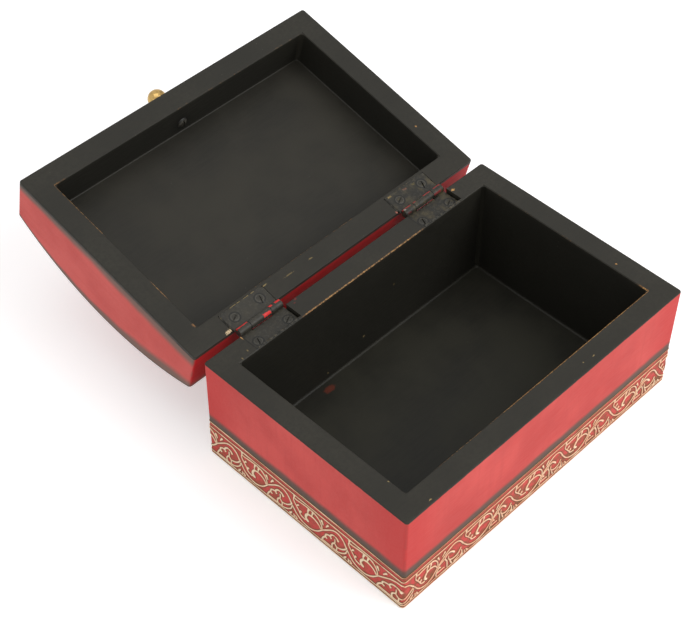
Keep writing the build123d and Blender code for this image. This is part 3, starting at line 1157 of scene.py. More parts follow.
@dataclass
class GiltPaste:
    """Cream-gold paste on the raised lines, thin and pink on their flanks, with dirt and painted shadow at
    their foot.
    """

    effects: SharedEffects
    name: str = "gilt_paste"
    cream: Colour = (0.93, 0.70, 0.43)
    pale: Colour = (0.98, 0.88, 0.64)
    thin: Colour = (0.72, 0.29, 0.155)
    grime_and_shade: Colour = (0.075, 0.040, 0.014)

    def build(self) -> bpy.types.Material:
        """Make the material.

        Returns:
            The material for the raised lines.
        """
        material, net, shader = new_material(self.name)
        point, front = net.place(), -SIZES.half_width
        proud = self.effects.wall_distance(net, point, 0.0, SIZES.corner_radius)
        blots = net.noise(point, 240.0, 3.0, 0.6)
        grains = net.noise(point, 1900.0)
        # Painted shade and light: the paste counts as thinner, so pinker, on the front face, and thicker, so
        # paler, on the other sides
        darkened = net.remap(net.split(point)[1], front, front + 1.0 * MM, 0.06 * MM, -0.05 * MM)
        thickness = net.minus(net.math("MULTIPLY_ADD", blots, -0.3 * MM, proud), darkened)
        thin = net.remap(thickness, -0.06 * MM, 0.27 * MM, 1.0, 0.0)
        colour = net.mix(net.remap(grains, 0.35, 0.65), self.cream, self.pale)
        colour = net.mix(thin, colour, self.thin)
        # Dark foot of each line: dirt and painted shadow
        foot = net.remap(proud, 0.07 * MM, 0.15 * MM, 1.0, 0.0)
        net.feed(shader.inputs["Base Color"], net.mix(foot, colour, self.grime_and_shade))
        net.feed(shader.inputs["Roughness"], net.blend(foot, net.remap(grains, 0.3, 0.7, 0.32, 0.5), 0.9))
        shader.inputs["Specular IOR Level"].default_value = 0.45
        net.bump(shader, 0.3, 0.06 * MM, grains)
        return material


@dataclass
class LeafPaintFinish:
    """Black paint gathered in a low bead, with rubs of gilt along it."""

    effects: SharedEffects
    name: str
    gilding: float
    black: BlackPaint = BlackPaint()
    brushed_out: Colour = (0.048, 0.044, 0.034)
    gilt: Colour = (0.30, 0.22, 0.09)

    def build(self) -> bpy.types.Material:
        """Make the material.

        Returns:
            The material for the beads.
        """
        material, net, shader = new_material(self.name)
        point = net.place()
        coat = self.effects.brushed(net, point, (1.0, 1.0, 1.0), 0.6)
        lumps = net.remap(net.noise(point, 750.0), 0.40, 0.60)
        colour = net.mix(lumps, self.black.inside, self.brushed_out)
        rubs = net.times(net.noise(point, 120.0), net.noise(point, 900.0, 3.0))
        gilded = net.remap(rubs, 0.26, 0.36, 0.0, self.gilding)
        net.feed(shader.inputs["Base Color"], net.mix(gilded, colour, self.gilt))
        net.feed(shader.inputs["Roughness"], net.remap(coat.outputs["Marks"], 0.0, 1.0, 0.42, 0.62))
        shader.inputs["Specular IOR Level"].default_value = self.black.shine
        net.bump(shader, 0.6, 0.1 * MM, coat.outputs["Height"])
        return material


@dataclass
class DullSteel:
    """Drawn steel of the brads, dull and lightly spotted with rust."""

    name: str = "dull_steel"
    steel: Colour = (0.45, 0.44, 0.42)
    rust: Colour = (0.20, 0.09, 0.04)

    def build(self) -> bpy.types.Material:
        """Make the material.

        Returns:
            The material for the brads.
        """
        material, net, shader = new_material(self.name)
        point = net.place()
        spots = net.remap(net.noise(point, 900.0, 3.0, 0.6), 0.5, 0.68)
        net.feed(shader.inputs["Base Color"], net.mix(spots, self.steel, self.rust))
        net.feed(shader.inputs["Metallic"], net.blend(spots, 1.0, 0.2))
        net.feed(shader.inputs["Roughness"], net.blend(spots, 0.4, 0.7))
        return material


@dataclass(frozen=True)
class Station:
    """One cross-section of a raised line."""

    place: Vector
    across: Vector
    out: Vector
    half_width: float
    height: float


@dataclass(frozen=True)
class Ridge:
    """Cross-section of a raised line of paste: half round, with a low foot along it that takes dirt and
    painted shadow.

    The foot's shoulder lies at a share of its width. The line rises to at least a share of the
    foot's height.
    """

    steps: int = 6
    sunk: float = 0.06 * MM
    foot_width: float = 0.62 * MM
    foot_height: float = 0.045 * MM
    shoulder_share: float = 0.55
    least_rise: float = 1.05

    def sweep(self, mesh: bmesh.types.BMesh, stations: list[Station], closed: bool = False) -> None:
        """Draw a raised line through its stations.

        Args:
            mesh: The mesh that gets the line.
            stations: Its cross-sections in order.
            closed: True where the last one joins the first.
        """
        rings = [[mesh.verts.new(point) for point in self._section(station)] for station in stations]
        join_rings(mesh, rings, closed)

    def _section(self, station: Station) -> list[Vector]:
        """Points round one cross-section.

        Args:
            station: The cross-section.

        Returns:
            The points, from one edge of the foot over the top to the other.
        """
        edge = station.half_width + self.foot_width
        shoulder = station.half_width + self.shoulder_share * self.foot_width
        outline = [(edge, -self.sunk), (shoulder, self.foot_height)]
        for step in range(1, self.steps):
            angle = math.pi * step / self.steps
            rise = max(station.height * math.sin(angle), self.least_rise * self.foot_height)
            outline.append((station.half_width * math.cos(angle), rise))
        outline += [(-shoulder, self.foot_height), (-edge, -self.sunk)]
        return [station.place + station.across * side + station.out * rise for side, rise in outline]


@dataclass(frozen=True)
class Hand:
    """How steadily a line was laid: how far it wanders and swells, and how often in a metre."""

    wander: float = 0.13 * MM
    wander_scale: float = 110.0
    swell: float = 0.25
    swell_scale: float = 260.0

    def thickness(self, place: Vector) -> float:
        """Share of its mean thickness that a line has at a place."""
        return 1.0 + self.swell * noise.noise(place * self.swell_scale)


@dataclass(frozen=True)
class Stroke:
    """One stroke of the paste cone, in millimetres.

    Points run from left to right along the border and up from its foot line. The width is
    that of a plain line times start and end, so a stroke can swell into a drop.
    """

    points: tuple[tuple[float, float], ...]
    start: float = 1.0
    end: float = 1.0


@dataclass(frozen=True)
class VineRepeat:
    """One repeat of the vine: a waving stem with a leaf hung over its trough and one under its crest.

    The stem falls through the border's middle where a repeat starts and rises through it at rise.
    The leaf under the crest was drawn forked on the short sides and hooked on the long ones,
    but for the first repeat of each long side.
    """

    rise: float = 18.0
    period: float = 33.4
    height: float = 16.75
    strokes: tuple[Stroke, ...] = (
        # Stem, with its swelling where the leaves join it
        Stroke(((0.0, 8.2), (0.9, 6.8), (2.4, 4.6), (4.6, 2.7), (7.2, 1.7), (10.1, 1.5), (12.8, 2.5),
                (15.2, 4.4), (18.0, 8.0))),
        Stroke(((18.0, 8.0), (20.3, 10.1), (22.9, 12.5), (25.2, 14.0), (27.5, 14.5), (29.5, 13.8),
                (31.4, 11.9), (33.4, 8.2))),
        Stroke(((31.5, 11.6), (32.3, 10.2), (33.3, 8.3)), 1.0, 2.0),
        # Upper leaf: its notched edge, hung from the line above
        Stroke(((1.1, 14.0), (1.2, 15.2), (1.3, 16.8)), 1.0, 2.6),
        Stroke(((1.3, 14.8), (0.9, 13.9), (1.0, 12.6), (1.7, 11.3), (2.7, 10.0), (3.2, 9.1), (4.2, 7.8),
                (4.6, 6.6), (5.5, 5.7), (6.9, 5.3), (8.0, 5.2))),
        Stroke(((2.6, 10.3), (3.1, 11.2), (4.1, 12.2)), 0.9, 2.6),
        Stroke(((4.5, 7.0), (4.8, 7.9), (5.4, 9.1)), 0.9, 2.6),
        # Upper leaf: its back, its curl and the two bars between them
        Stroke(((1.4, 14.6), (3.0, 14.5), (5.9, 15.0), (8.8, 15.3), (11.7, 15.3), (13.6, 15.0),
                (15.4, 14.0), (16.7, 12.3), (17.4, 10.3), (17.6, 8.0))),
        Stroke(((17.0, 7.4), (16.1, 9.1), (14.6, 10.5), (12.7, 11.2), (10.9, 11.3), (9.3, 10.6),
                (8.3, 9.1), (8.0, 7.6), (8.4, 6.4), (9.2, 5.9), (10.0, 6.0)), 1.0, 2.9),
        Stroke(((9.4, 10.9), (9.3, 12.8), (10.0, 15.2)), 0.9, 2.3),
        Stroke(((11.7, 11.3), (11.8, 12.8), (12.4, 15.1)), 0.9, 2.3),
        # Leaflets above the stem's rise
        Stroke(((18.3, 11.8), (17.9, 13.2), (17.1, 14.8)), 0.9, 2.9),
        Stroke(((20.1, 12.0), (20.8, 13.3), (21.8, 14.8)), 0.9, 2.5),
        # Leaflets under the stem's fall
        Stroke(((33.0, 2.9), (32.5, 1.8), (31.6, 0.7)), 0.9, 2.7),
        Stroke(((0.7, 2.6), (1.0, 1.6), (1.1, 0.5)), 0.8, 1.8),
        Stroke(((1.7, 2.4), (2.3, 1.4), (3.0, 0.5)), 0.9, 2.6),
    )
    forked_leaf: tuple[Stroke, ...] = (
        # Notched edge, standing on the foot line
        Stroke(((17.4, 0.3), (18.0, 2.2), (19.0, 3.9), (19.7, 4.9), (19.9, 6.2), (20.6, 7.1), (21.7, 7.7),
                (22.8, 8.1), (23.5, 9.5), (24.7, 10.5), (25.9, 10.7)), 1.3, 1.3),
        Stroke(((25.8, 10.7), (27.1, 10.2), (28.1, 8.6)), 1.3, 2.7),
        Stroke(((19.6, 4.7), (20.2, 4.6), (20.9, 4.1)), 0.9, 2.5),
        Stroke(((22.5, 8.0), (23.1, 7.6), (23.6, 6.5)), 0.9, 2.4),
        # Back, inner line and the forked bar between them
        Stroke(((17.8, 0.9), (21.9, 1.0), (25.1, 1.0), (27.8, 1.2), (29.8, 2.1), (31.6, 3.6), (32.8, 5.3),
                (33.2, 7.4))),
        Stroke(((26.9, 3.9), (28.6, 4.4), (30.2, 5.3), (31.6, 6.6), (32.8, 8.1)), 1.0, 1.2),
        Stroke(((24.2, 0.9), (23.9, 2.7), (24.5, 4.3), (25.5, 5.5), (25.8, 7.0), (25.7, 9.0)), 1.2, 0.7),
        Stroke(((25.5, 5.4), (26.3, 4.6), (26.9, 3.6), (26.8, 1.2)), 1.0, 1.0),
    )
    hooked_leaf: tuple[Stroke, ...] = (
        # Notched edge, its tooth and its foot
        Stroke(((16.9, 0.8), (16.6, 2.4), (17.2, 4.2), (18.3, 6.0), (18.6, 7.4), (20.0, 8.2),
                (21.7, 8.9)), 1.2, 1.0),
        Stroke(((18.2, 6.0), (18.8, 5.5), (19.6, 4.7)), 0.9, 2.6),
        Stroke(((17.0, 2.8), (19.5, 2.9), (22.0, 2.6)), 0.8, 0.8),
        # Hook, and the bar that runs down from it
        Stroke(((21.6, 9.1), (23.2, 10.6), (24.7, 10.8), (26.1, 9.8), (27.4, 8.4), (27.9, 7.4)),
                1.0, 2.1),
        Stroke(((21.8, 8.9), (22.5, 7.2), (23.2, 5.8), (23.5, 3.9), (23.7, 0.7)), 1.3, 1.0),
        # Bowl under the hook, its leg, and the back's last curve and stub
        Stroke(((24.2, 8.7), (24.2, 6.7), (24.9, 5.0), (26.3, 3.9), (28.1, 3.5), (30.0, 4.0), (31.3, 5.5),
                (32.0, 7.2)), 1.0, 1.2),
        Stroke(((25.0, 4.5), (25.8, 2.6), (26.4, 1.0)), 0.9, 1.7),
        Stroke(((32.4, 4.9), (32.8, 2.4), (33.0, 0.3)), 1.0, 2.0),
        Stroke(((27.6, 0.8), (29.4, 1.3), (31.0, 2.4)), 0.8, 0.8),
    )


@dataclass(frozen=True)
class BorderFace:
    """One side of the base that carries the vine, as seen from outside.

    Falls and rises are where the hand-drawn stem crosses the border's middle, in millimetres
    from the side's left end. Swing and sink squeeze and lower the vine between its two lines.
    Overlap is the angle by which the vine runs past the middle of a rounded corner.
    """

    name: str
    corner: Vector
    along: Vector
    out: Vector
    length: float
    falls: tuple[float, ...]
    rises: tuple[float, ...]
    lower_leaf: tuple[Stroke, ...]
    swing: float = 1.0
    sink: float = 0.0
    line_share: float = 1.0
    overlap: float = 0.06

    def wrap(self, run: float) -> tuple[Vector, Vector, Vector] | None:
        """Find a place on this side or on its half of the rounded corner at either end.

        Args:
            run: Distance from the side's left end.

        Returns:
            The place at the foot, the way along and the way out there; None past the corner's middle.
        """
        radius, end = SIZES.corner_radius, self.length * MM
        flat = min(max(run, radius), end - radius)
        turn = (run - flat) / radius
        if abs(turn) > math.pi / 4 + self.overlap:
            return None
        along = self.along * math.cos(turn) - self.out * math.sin(turn)
        out = self.out * math.cos(turn) + self.along * math.sin(turn)
        return self.corner + self.along * flat + (out - self.out) * radius, along, out

    def lay(self, stroke: Stroke, start: int, repeat: VineRepeat) -> tuple[tuple[float, float], ...]:
        """Put a stroke's points in their place on this side.

        Args:
            stroke: The stroke, within its repeat.
            start: Index of the fall at which the repeat starts.
            repeat: The repeat.

        Returns:
            The points, along the side and up from the foot line.
        """
        fall, rise, after = self.falls[start], self.rises[start], self.falls[start + 1]
        first = (rise - fall) / repeat.rise
        second = (after - rise) / (repeat.period - repeat.rise)
        middle = repeat.height / 2
        points = []
        for along, up in stroke.points:
            place = fall + along * first if along < repeat.rise else rise + (along - repeat.rise) * second
            held = min(1.0, (abs(up - middle) / middle) ** 4)
            squeeze = self.swing + (1 - self.swing) * held
            points.append((place, middle + (up - middle) * squeeze - self.sink * (1 - held)))
        return tuple(points)


@dataclass
class RaisedBorder:
    """The raised gilt border: a vine on each side, and lines that run round the whole foot.

    Where a stroke of the vine swells, its rise follows by a share of the swell, up to a limit.
    """

    finish: bpy.types.Material
    repeat: VineRepeat = VineRepeat()
    heights: BorderHeights = BorderHeights()
    ridge: Ridge = Ridge()
    line_width: float = 0.52 * MM
    line_rise: float = 0.42 * MM
    rise_follow: float = 0.25
    most_rise: float = 1.25
    station_spacing: float = 0.4 * MM
    loop_spacing: float = 1.6 * MM
    loop_width_share: float = 0.9
    loop_rise_share: float = 0.85
    vine_hand: Hand = Hand()
    loop_hand: Hand = Hand(wander_scale=70.0, swell=0.3, swell_scale=150.0)

    def faces(self) -> tuple[BorderFace, ...]:
        """The four sides of the base, with the repeats where they were drawn by hand.

        Returns:
            The sides.
        """
        length, width = SIZES.half_length, SIZES.half_width
        long_side, short_side = 2 * length / MM, 2 * width / MM
        x, y = Vector((1.0, 0.0, 0.0)), Vector((0.0, 1.0, 0.0))
        forked, hooked = self.repeat.forked_leaf, self.repeat.hooked_leaf
        return (
            BorderFace(
                "front", Vector((-length, -width, 0.0)), x, -y, long_side,
                falls=(-32.8, 6.5, 37.5, 70.1, 104.0, 138.5, 172.5, 206.0),
                rises=(-14.3, 21.6, 56.4, 90.0, 122.5, 157.2, 191.0),
                lower_leaf=hooked, swing=0.96, sink=0.1, line_share=0.88,
            ),
            BorderFace(
                "right", Vector((length, -width, 0.0)), y, x, short_side,
                falls=(-7.5, 25.4, 58.6, 92.1, 125.6),
                rises=(11.0, 43.3, 76.8, 110.0),
                lower_leaf=forked, swing=0.97,
            ),
            BorderFace(
                "back", Vector((length, width, 0.0)), -x, y, long_side,
                falls=(-27.9, 5.6, 38.4, 70.0, 102.9, 134.7, 167.4, 200.9),
                rises=(-10.0, 23.6, 55.2, 88.3, 119.8, 152.9, 185.4),
                lower_leaf=hooked, swing=0.97,
            ),
            BorderFace(
                "left", Vector((-length, width, 0.0)), -y, -x, short_side,
                falls=(-12.6, 20.7, 53.7, 87.2, 126.5),
                rises=(5.4, 38.2, 72.5, 105.7),
                lower_leaf=forked, swing=0.98,
            ),
        )

    def build(self) -> None:
        """Make the vines and the lines."""
        for face in self.faces():
            self._build_vine(face)
        for line in self.heights.lines:
            self._build_line(line)

    def _build_vine(self, face: BorderFace) -> None:
        """Make the vine of one side.

        Args:
            face: The side.
        """
        mesh = bmesh.new()
        for start in range(len(face.rises)):
            leaf = face.lower_leaf if start else self.repeat.forked_leaf
            for stroke in (*self.repeat.strokes, *leaf):
                path = smooth_path(face.lay(stroke, start, self.repeat), self.station_spacing / MM)
                for part in self._on_face(path, stroke, face):
                    self.ridge.sweep(mesh, part)
        finish_piece(mesh, f"vine_{face.name}", self.finish, Body.BASE)

    def _on_face(
        self, path: list[tuple[float, float]], stroke: Stroke, face: BorderFace
    ) -> list[list[Station]]:
        """Lay a stroke on a side and cut off what passes the middle of its corners.

        Args:
            path: The stroke's smoothed points, along the side and up from the foot line.
            stroke: The stroke, for its widths.
            face: The side.

        Returns:
            The stations of each part that stays on the side.
        """
        foot = SIZES.base_height - self.heights.vine_foot
        scale = (self.heights.vine_foot - self.heights.vine_top) / (self.repeat.height * MM)
        radii = (self.line_width * stroke.start / 2, self.line_width * stroke.end / 2)
        steps = len(path) - 1
        run = [0.0]
        for before, after in zip(path, path[1:]):
            run.append(run[-1] + math.dist(before, after))
        parts: list[list[Station]] = [[]]
        for index, (across, up) in enumerate(path):
            spot = face.wrap(across * MM)
            if spot is None:
                parts.append([])
                continue
            place, along, out = spot
            before, after = path[max(index - 1, 0)], path[min(index + 1, steps)]
            place.z = foot + up * MM * scale
            heading = along * (after[0] - before[0]) + Vector((0.0, 0.0, after[1] - before[1]))
            heading.normalize()
            drift = noise.noise_vector(place * self.vine_hand.wander_scale) * self.vine_hand.wander
            place += drift - out * drift.dot(out)
            swell = stroke.start + (stroke.end - stroke.start) * (run[index] / run[-1]) ** 2
            swell *= self.vine_hand.thickness(place)
            width = self.line_width * face.line_share * swell
            rise = self.line_rise * min(self.most_rise, 1 - self.rise_follow + self.rise_follow * swell)
            ends = rounded_end(run[index] * MM, run[-1] * MM, radii)
            parts[-1].append(Station(place, out.cross(heading), out, width / 2 * ends, rise * ends))
        return [part for part in parts if len(part) > 2]

    def _build_line(self, line: BorderLine) -> None:
        """Make one line round the foot of the box.

        Args:
            line: The line.
        """
        mesh = bmesh.new()
        hand = self.loop_hand
        stations = []
        for place, out in outline_loop(self.loop_spacing):
            lifted = place + Vector((0.0, 0.0, SIZES.base_height - line.depth))
            own = Vector((0.0, 0.0, line.depth / MM))
            lifted.z += hand.wander * noise.noise(lifted * hand.wander_scale + own)
            swell = hand.thickness(lifted) * (line.share - line.front_wear * max(0.0, -out.y))
            width = self.loop_width_share * self.line_width * swell
            rise = self.loop_rise_share * self.line_rise * swell
            stations.append(Station(lifted, UP, out, width / 2, rise))
        replace(self.ridge, foot_width=line.foot_width).sweep(mesh, stations, closed=True)
        finish_piece(mesh, line.name, self.finish, Body.BASE)


@dataclass
class LeafPaint:
    """Paint gathered along the edges of a hinge's leaf, where the brush crossed from wood to metal."""

    name: str
    body: Body
    finish: bpy.types.Material
    corners: tuple[Vector, ...]
    out: Vector
    width: float = 0.75 * MM
    rise: float = 0.13 * MM
    spacing: float = 0.5 * MM
    hand: Hand = Hand(wander=0.1 * MM, wander_scale=900.0, swell=0.5, swell_scale=700.0)
    ridge: Ridge = Ridge(foot_width=0.12 * MM, foot_height=0.03 * MM)

    def build(self) -> None:
        """Draw the paint along the leaf's edges."""
        mesh = bmesh.new()
        for start, end in zip(self.corners, self.corners[1:]):
            steps = math.ceil((end - start).length / self.spacing)
            across = self.out.cross((end - start).normalized())
            stations = []
            for step in range(steps + 1):
                place = start.lerp(end, step / steps)
                place += across * (self.hand.wander * noise.noise(place * self.hand.wander_scale))
                swell = self.hand.thickness(place)
                stations.append(Station(place, across, self.out, self.width * swell / 2, self.rise * swell))
            self.ridge.sweep(mesh, stations)
        finish_piece(mesh, self.name, self.finish, self.body)


@dataclass
class PaintedCorners:
    """Paint and glue gathered in the inside corners of a body, along the floor and up the corners."""

    name: str
    body: Body
    finish: bpy.types.Material
    half_length: float
    half_width: float
    floor: float
    rim: float
    matrix: Matrix
    bead_radius: float = 0.9 * MM
    upright_radius: float = 1.8 * MM
    least_radius: float = 0.3 * MM
    tuck: float = 0.25 * MM
    steps: int = 6

    def build(self) -> None:
        """Make the bead round the floor and the four uprights."""
        self._build_bead()
        self._build_uprights()

    def _section(self, radius: float) -> list[tuple[float, float]]:
        """Outline of a filling: tucked into the walls on two sides and hollow on the third.

        Args:
            radius: Radius of its hollow side.

        Returns:
            Pairs of distances out of the two walls.
        """
        section = [(-self.tuck, radius), (-self.tuck, -self.tuck), (radius, -self.tuck)]
        for step in range(self.steps + 1):
            angle = math.pi / 2 * (1 - step / self.steps)
            section.append((radius * (1 - math.cos(angle)), radius * (1 - math.sin(angle))))
        return section

    def _build_bead(self) -> None:
        """Make the bead where the walls meet the floor."""
        mesh = bmesh.new()
        rings = []
        for inset, rise in self._section(self.bead_radius):
            radius = max(self.upright_radius - inset, self.least_radius)
            loop = corner_loop(self.half_length - inset, self.half_width - inset, radius, self.steps)
            rings.append([mesh.verts.new(self.matrix @ Vector((x, y, self.floor + rise))) for x, y in loop])
        join_rings(mesh, rings, closed=True)
        finish_piece(mesh, f"{self.name}_floor_bead", self.finish, self.body)

    def _build_uprights(self) -> None:
        """Make the rounded filling of the four upright corners."""
        mesh = bmesh.new()
        section = self._section(self.upright_radius)
        for side_x, side_y in ((-1, -1), (-1, 1), (1, -1), (1, 1)):
            rings = []
            for height in (self.floor - self.tuck, self.rim):
                ring = []
                for inset_x, inset_y in section:
                    x, y = side_x * (self.half_length - inset_x), side_y * (self.half_width - inset_y)
                    ring.append(mesh.verts.new(self.matrix @ Vector((x, y, height))))
                rings.append(ring)
            join_rings(mesh, rings, closed=False)
        name = f"{self.name}_corner_fill"
        finish_piece(mesh, name, self.finish, self.body, smooth=False)


def smooth_path(points: tuple[tuple[float, float], ...], spacing: float) -> list[tuple[float, float]]:
    """Draw an even, smooth path through points.

    Args:
        points: The points that it passes.
        spacing: Largest distance between two points of the result.

    Returns:
        The points of the path.
    """
    ends = (points[0], *points, points[-1])
    path = [points[0]]
    for before, start, end, after in zip(ends, ends[1:], ends[2:], ends[3:]):
        steps = max(2, math.ceil(math.dist(start, end) / spacing))
        for step in range(1, steps + 1):
            share = step / steps
            path.append(tuple(between(a, b, c, d, share) for a, b, c, d in zip(before, start, end, after)))
    return path


def between(before: float, start: float, end: float, after: float, share: float) -> float:
    """A value on the smooth curve from start to end.

    Args:
        before: The value before the start.
        start: The value at share 0.
        end: The value at share 1.
        after: The value after the end.
        share: How far along the curve the value lies.

    Returns:
        The value.
    """
    slope_in, slope_out = (end - before) / 2, (after - start) / 2
    bend = 3 * (end - start) - 2 * slope_in - slope_out
    twist = 2 * (start - end) + slope_in + slope_out
    return start + share * (slope_in + share * (bend + share * twist))


def rounded_end(run: float, total: float, radii: tuple[float, float], least: float = 0.12) -> float:
    """Share of the full width at a distance along a stroke with round ends.

    Args:
        run: Distance from the stroke's start.
        total: The stroke's length.
        radii: Radius of its start and of its end.
        least: Share at the very tip, so that the tip keeps an area.

    Returns:
        The share.
    """
    share = 1.0
    for distance, radius in ((run, radii[0]), (total - run, radii[1])):
        if distance < radius:
            share = min(share, math.sqrt(max(0.0, 1 - (1 - distance / radius) ** 2)))
    return max(share, least)


def join_rings(mesh: bmesh.types.BMesh, rings: list[list[bmesh.types.BMVert]], closed: bool) -> None:
    """Join rings of vertices, each to the next.

    Args:
        mesh: The mesh that holds them.
        rings: The rings in order, all with the same number of vertices.
        closed: True where the last ring joins the first; otherwise both ends are capped.
    """
    pairs = list(zip(rings, rings[1:]))
    if closed:
        pairs.append((rings[-1], rings[0]))
    for ring, following in pairs:
        for index in range(len(ring)):
            after = (index + 1) % len(ring)
            mesh.faces.new((ring[index], ring[after], following[after], following[index]))
    if not closed:
        mesh.faces.new(reversed(rings[0]))
        mesh.faces.new(rings[-1])


def corner_loop(half_x: float, half_y: float, radius: float, steps: int) -> list[tuple[float, float]]:
    """Points round a rectangle with rounded corners, counter-clockwise.

    Args:
        half_x: Half its size along X.
        half_y: Half its size along Y.
        radius: The corners' radius.
        steps: Divisions of each corner.

    Returns:
        The points.
    """
    loop = []
    for quarter, (side_x, side_y) in enumerate(((1, 1), (-1, 1), (-1, -1), (1, -1))):
        for step in range(steps + 1):
            angle = math.pi / 2 * (quarter + step / steps)
            x = side_x * (half_x - radius) + radius * math.cos(angle)
            y = side_y * (half_y - radius) + radius * math.sin(angle)
            loop.append((x, y))
    return loop


def outline_loop(spacing: float, corner_steps: int = 5) -> list[tuple[Vector, Vector]]:
    """Evenly spaced points round the box's outside, with the way out at each.

    Args:
        spacing: Largest distance between two points on a straight side.
        corner_steps: Divisions of each rounded corner.

    Returns:
        Pairs of a point at height 0 and its unit normal.
    """
    half_x, half_y, radius = SIZES.half_length, SIZES.half_width, SIZES.corner_radius
    corners = corner_loop(half_x, half_y, radius, corner_steps)
    loop = []
    for (x, y), (next_x, next_y) in zip(corners, corners[1:] + corners[:1]):
        start, end = Vector((x, y, 0.0)), Vector((next_x, next_y, 0.0))
        steps = max(1, math.ceil((end - start).length / spacing))
        for step in range(steps):
            place = start.lerp(end, step / steps)
            core = Vector((
                max(-half_x + radius, min(half_x - radius, place.x)),
                max(-half_y + radius, min(half_y - radius, place.y)),
                0.0,
            ))
            loop.append((place, (place - core).normalized()))
    return loop


def finish_piece(
    mesh: bmesh.types.BMesh,
    name: str,
    material: bpy.types.Material,
    body: Body,
    smooth: bool = True,
) -> None:
    """Turn a mesh into a piece that rides on its body.

    Args:
        mesh: The mesh, in the frame; it is freed.
        name: The piece's name.
        material: Its finish.
        body: The body that carries it.
        smooth: True for smooth shading.
    """
    bmesh.ops.recalc_face_normals(mesh, faces=mesh.faces[:])
    data = bpy.data.meshes.new(name)
    mesh.to_mesh(data)
    mesh.free()
    data.materials.append(material)
    for polygon in data.polygons:
        polygon.use_smooth = smooth
    piece = bpy.data.objects.new(name, data)
    bpy.context.scene.collection.objects.link(piece)
    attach(piece, body.value)
    log.info("made %s: %d faces on %s", name, len(data.polygons), body.value)


def dress(node: str, material: bpy.types.Material) -> None:
    """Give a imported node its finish.

    Args:
        node: The node's name.
        material: Its finish.
    """
    piece = frame["nodes"][node]
    piece.data.materials.clear()
    piece.data.materials.append(material)
    log.info("dressed %s with %s", node, material.name)


@dataclass
class Base:
    """The box's base: four boards and a panel."""

    effects: SharedEffects
    boards: tuple[str, ...] = ("base_front_board", "base_back_board", "base_left_board", "base_right_board")
    rim_clearance: float = 0.5 * MM

    def build(self) -> None:
        """Dress the base and add its border and inside corners."""
        worn = (
            WornStretch((-2.0, 49.0), (38.0, 4.0), 0.8),
            WornStretch((33.0, -49.0), (51.0, 4.0), 1.0),
            WornStretch((-38.0, -49.0), (22.0, 4.0), 0.55),
            WornStretch((79.0, 10.0), (5.0, 30.0), 0.35),
        )
        wood, gilt, red = BareWood().fresh, (0.34, 0.25, 0.11), (0.35, 0.03, 0.03)
        chips = (
            Chip((-74.3, -58.1, 0.0), (1.0, 0.4, 0.5), gilt),
            Chip((-79.6, -40.0, 0.0), (0.4, 0.7, 0.5), gilt, 0.7),
            Chip((31.8, -56.1, 0.0), (0.8, 0.4, 0.5), gilt, 0.7),
            Chip((25.6, -55.5, 0.0), (0.5, 0.35, 0.5), gilt, 0.7),
            Chip((-71.7, 51.8, 0.0), (0.5, 0.8, 0.5), gilt, 0.45),
            Chip((-76.4, 50.0, 0.0), (0.4, 0.9, 0.5), gilt, 0.5),
            Chip((-68.6, 59.3, 0.0), (0.35, 2.2, 0.6), wood, 0.7),
            Chip((-35.9, 59.1, 0.0), (0.9, 0.6, 0.5), red, 0.4),
            Chip((-37.8, 57.6, 0.0), (0.6, 0.6, 0.5), red, 0.3),
            Chip((-67.9, 54.0, 0.0), (0.7, 9.0, 0.6), BLACK, 0.9),
            Chip((37.7, 54.0, 0.0), (0.6, 9.0, 0.6), BLACK, 0.8),
            Chip((66.0, 57.0, 0.0), (1.3, 0.9, 0.6), wood),
            Chip((-1.6, 49.0, -44.0), (0.9, 0.5, 0.8), gilt, 0.5),
            Chip((-25.6, 49.0, -50.9), (0.7, 0.5, 0.7), gilt, 0.5),
            Chip((18.1, 49.0, -23.1), (0.8, 0.5, 0.6), gilt, 0.4),
        )
        paint = CoatedBoards(self.effects, "base_boards_paint", SIZES.base_wall, worn, chips=chips).build()
        for board in self.boards:
            dress(board, paint)
        dark = BlackPaint(light=(0.0212, 0.0200, 0.0137), deep=(0.0104, 0.0098, 0.0070), shine=0.22)
        black = BlackPanel(self.effects, "base_panel_paint", on_lid=False, black=dark).build()
        dress("base_bottom_panel", black)
        RaisedBorder(GiltPaste(self.effects).build()).build()
        PaintedCorners(
            name="base",
            body=Body.BASE,
            finish=black,
            half_length=SIZES.half_length - SIZES.base_wall,
            half_width=SIZES.half_width - SIZES.base_wall,
            floor=SIZES.floor_height,
            rim=SIZES.base_height - self.rim_clearance,
            matrix=Matrix.Identity(4),
        ).build()


@dataclass
class Brads:
    """The sunk steel brads of both bodies."""

    nodes: tuple[str, ...] = ("base_corner_brads", "bottom_panel_brads", "lid_corner_brads", "lid_top_brads")

    def build(self) -> None:
        """Dress every brad with one finish."""
        steel = DullSteel().build()
        for node in self.nodes:
            dress(node, steel)


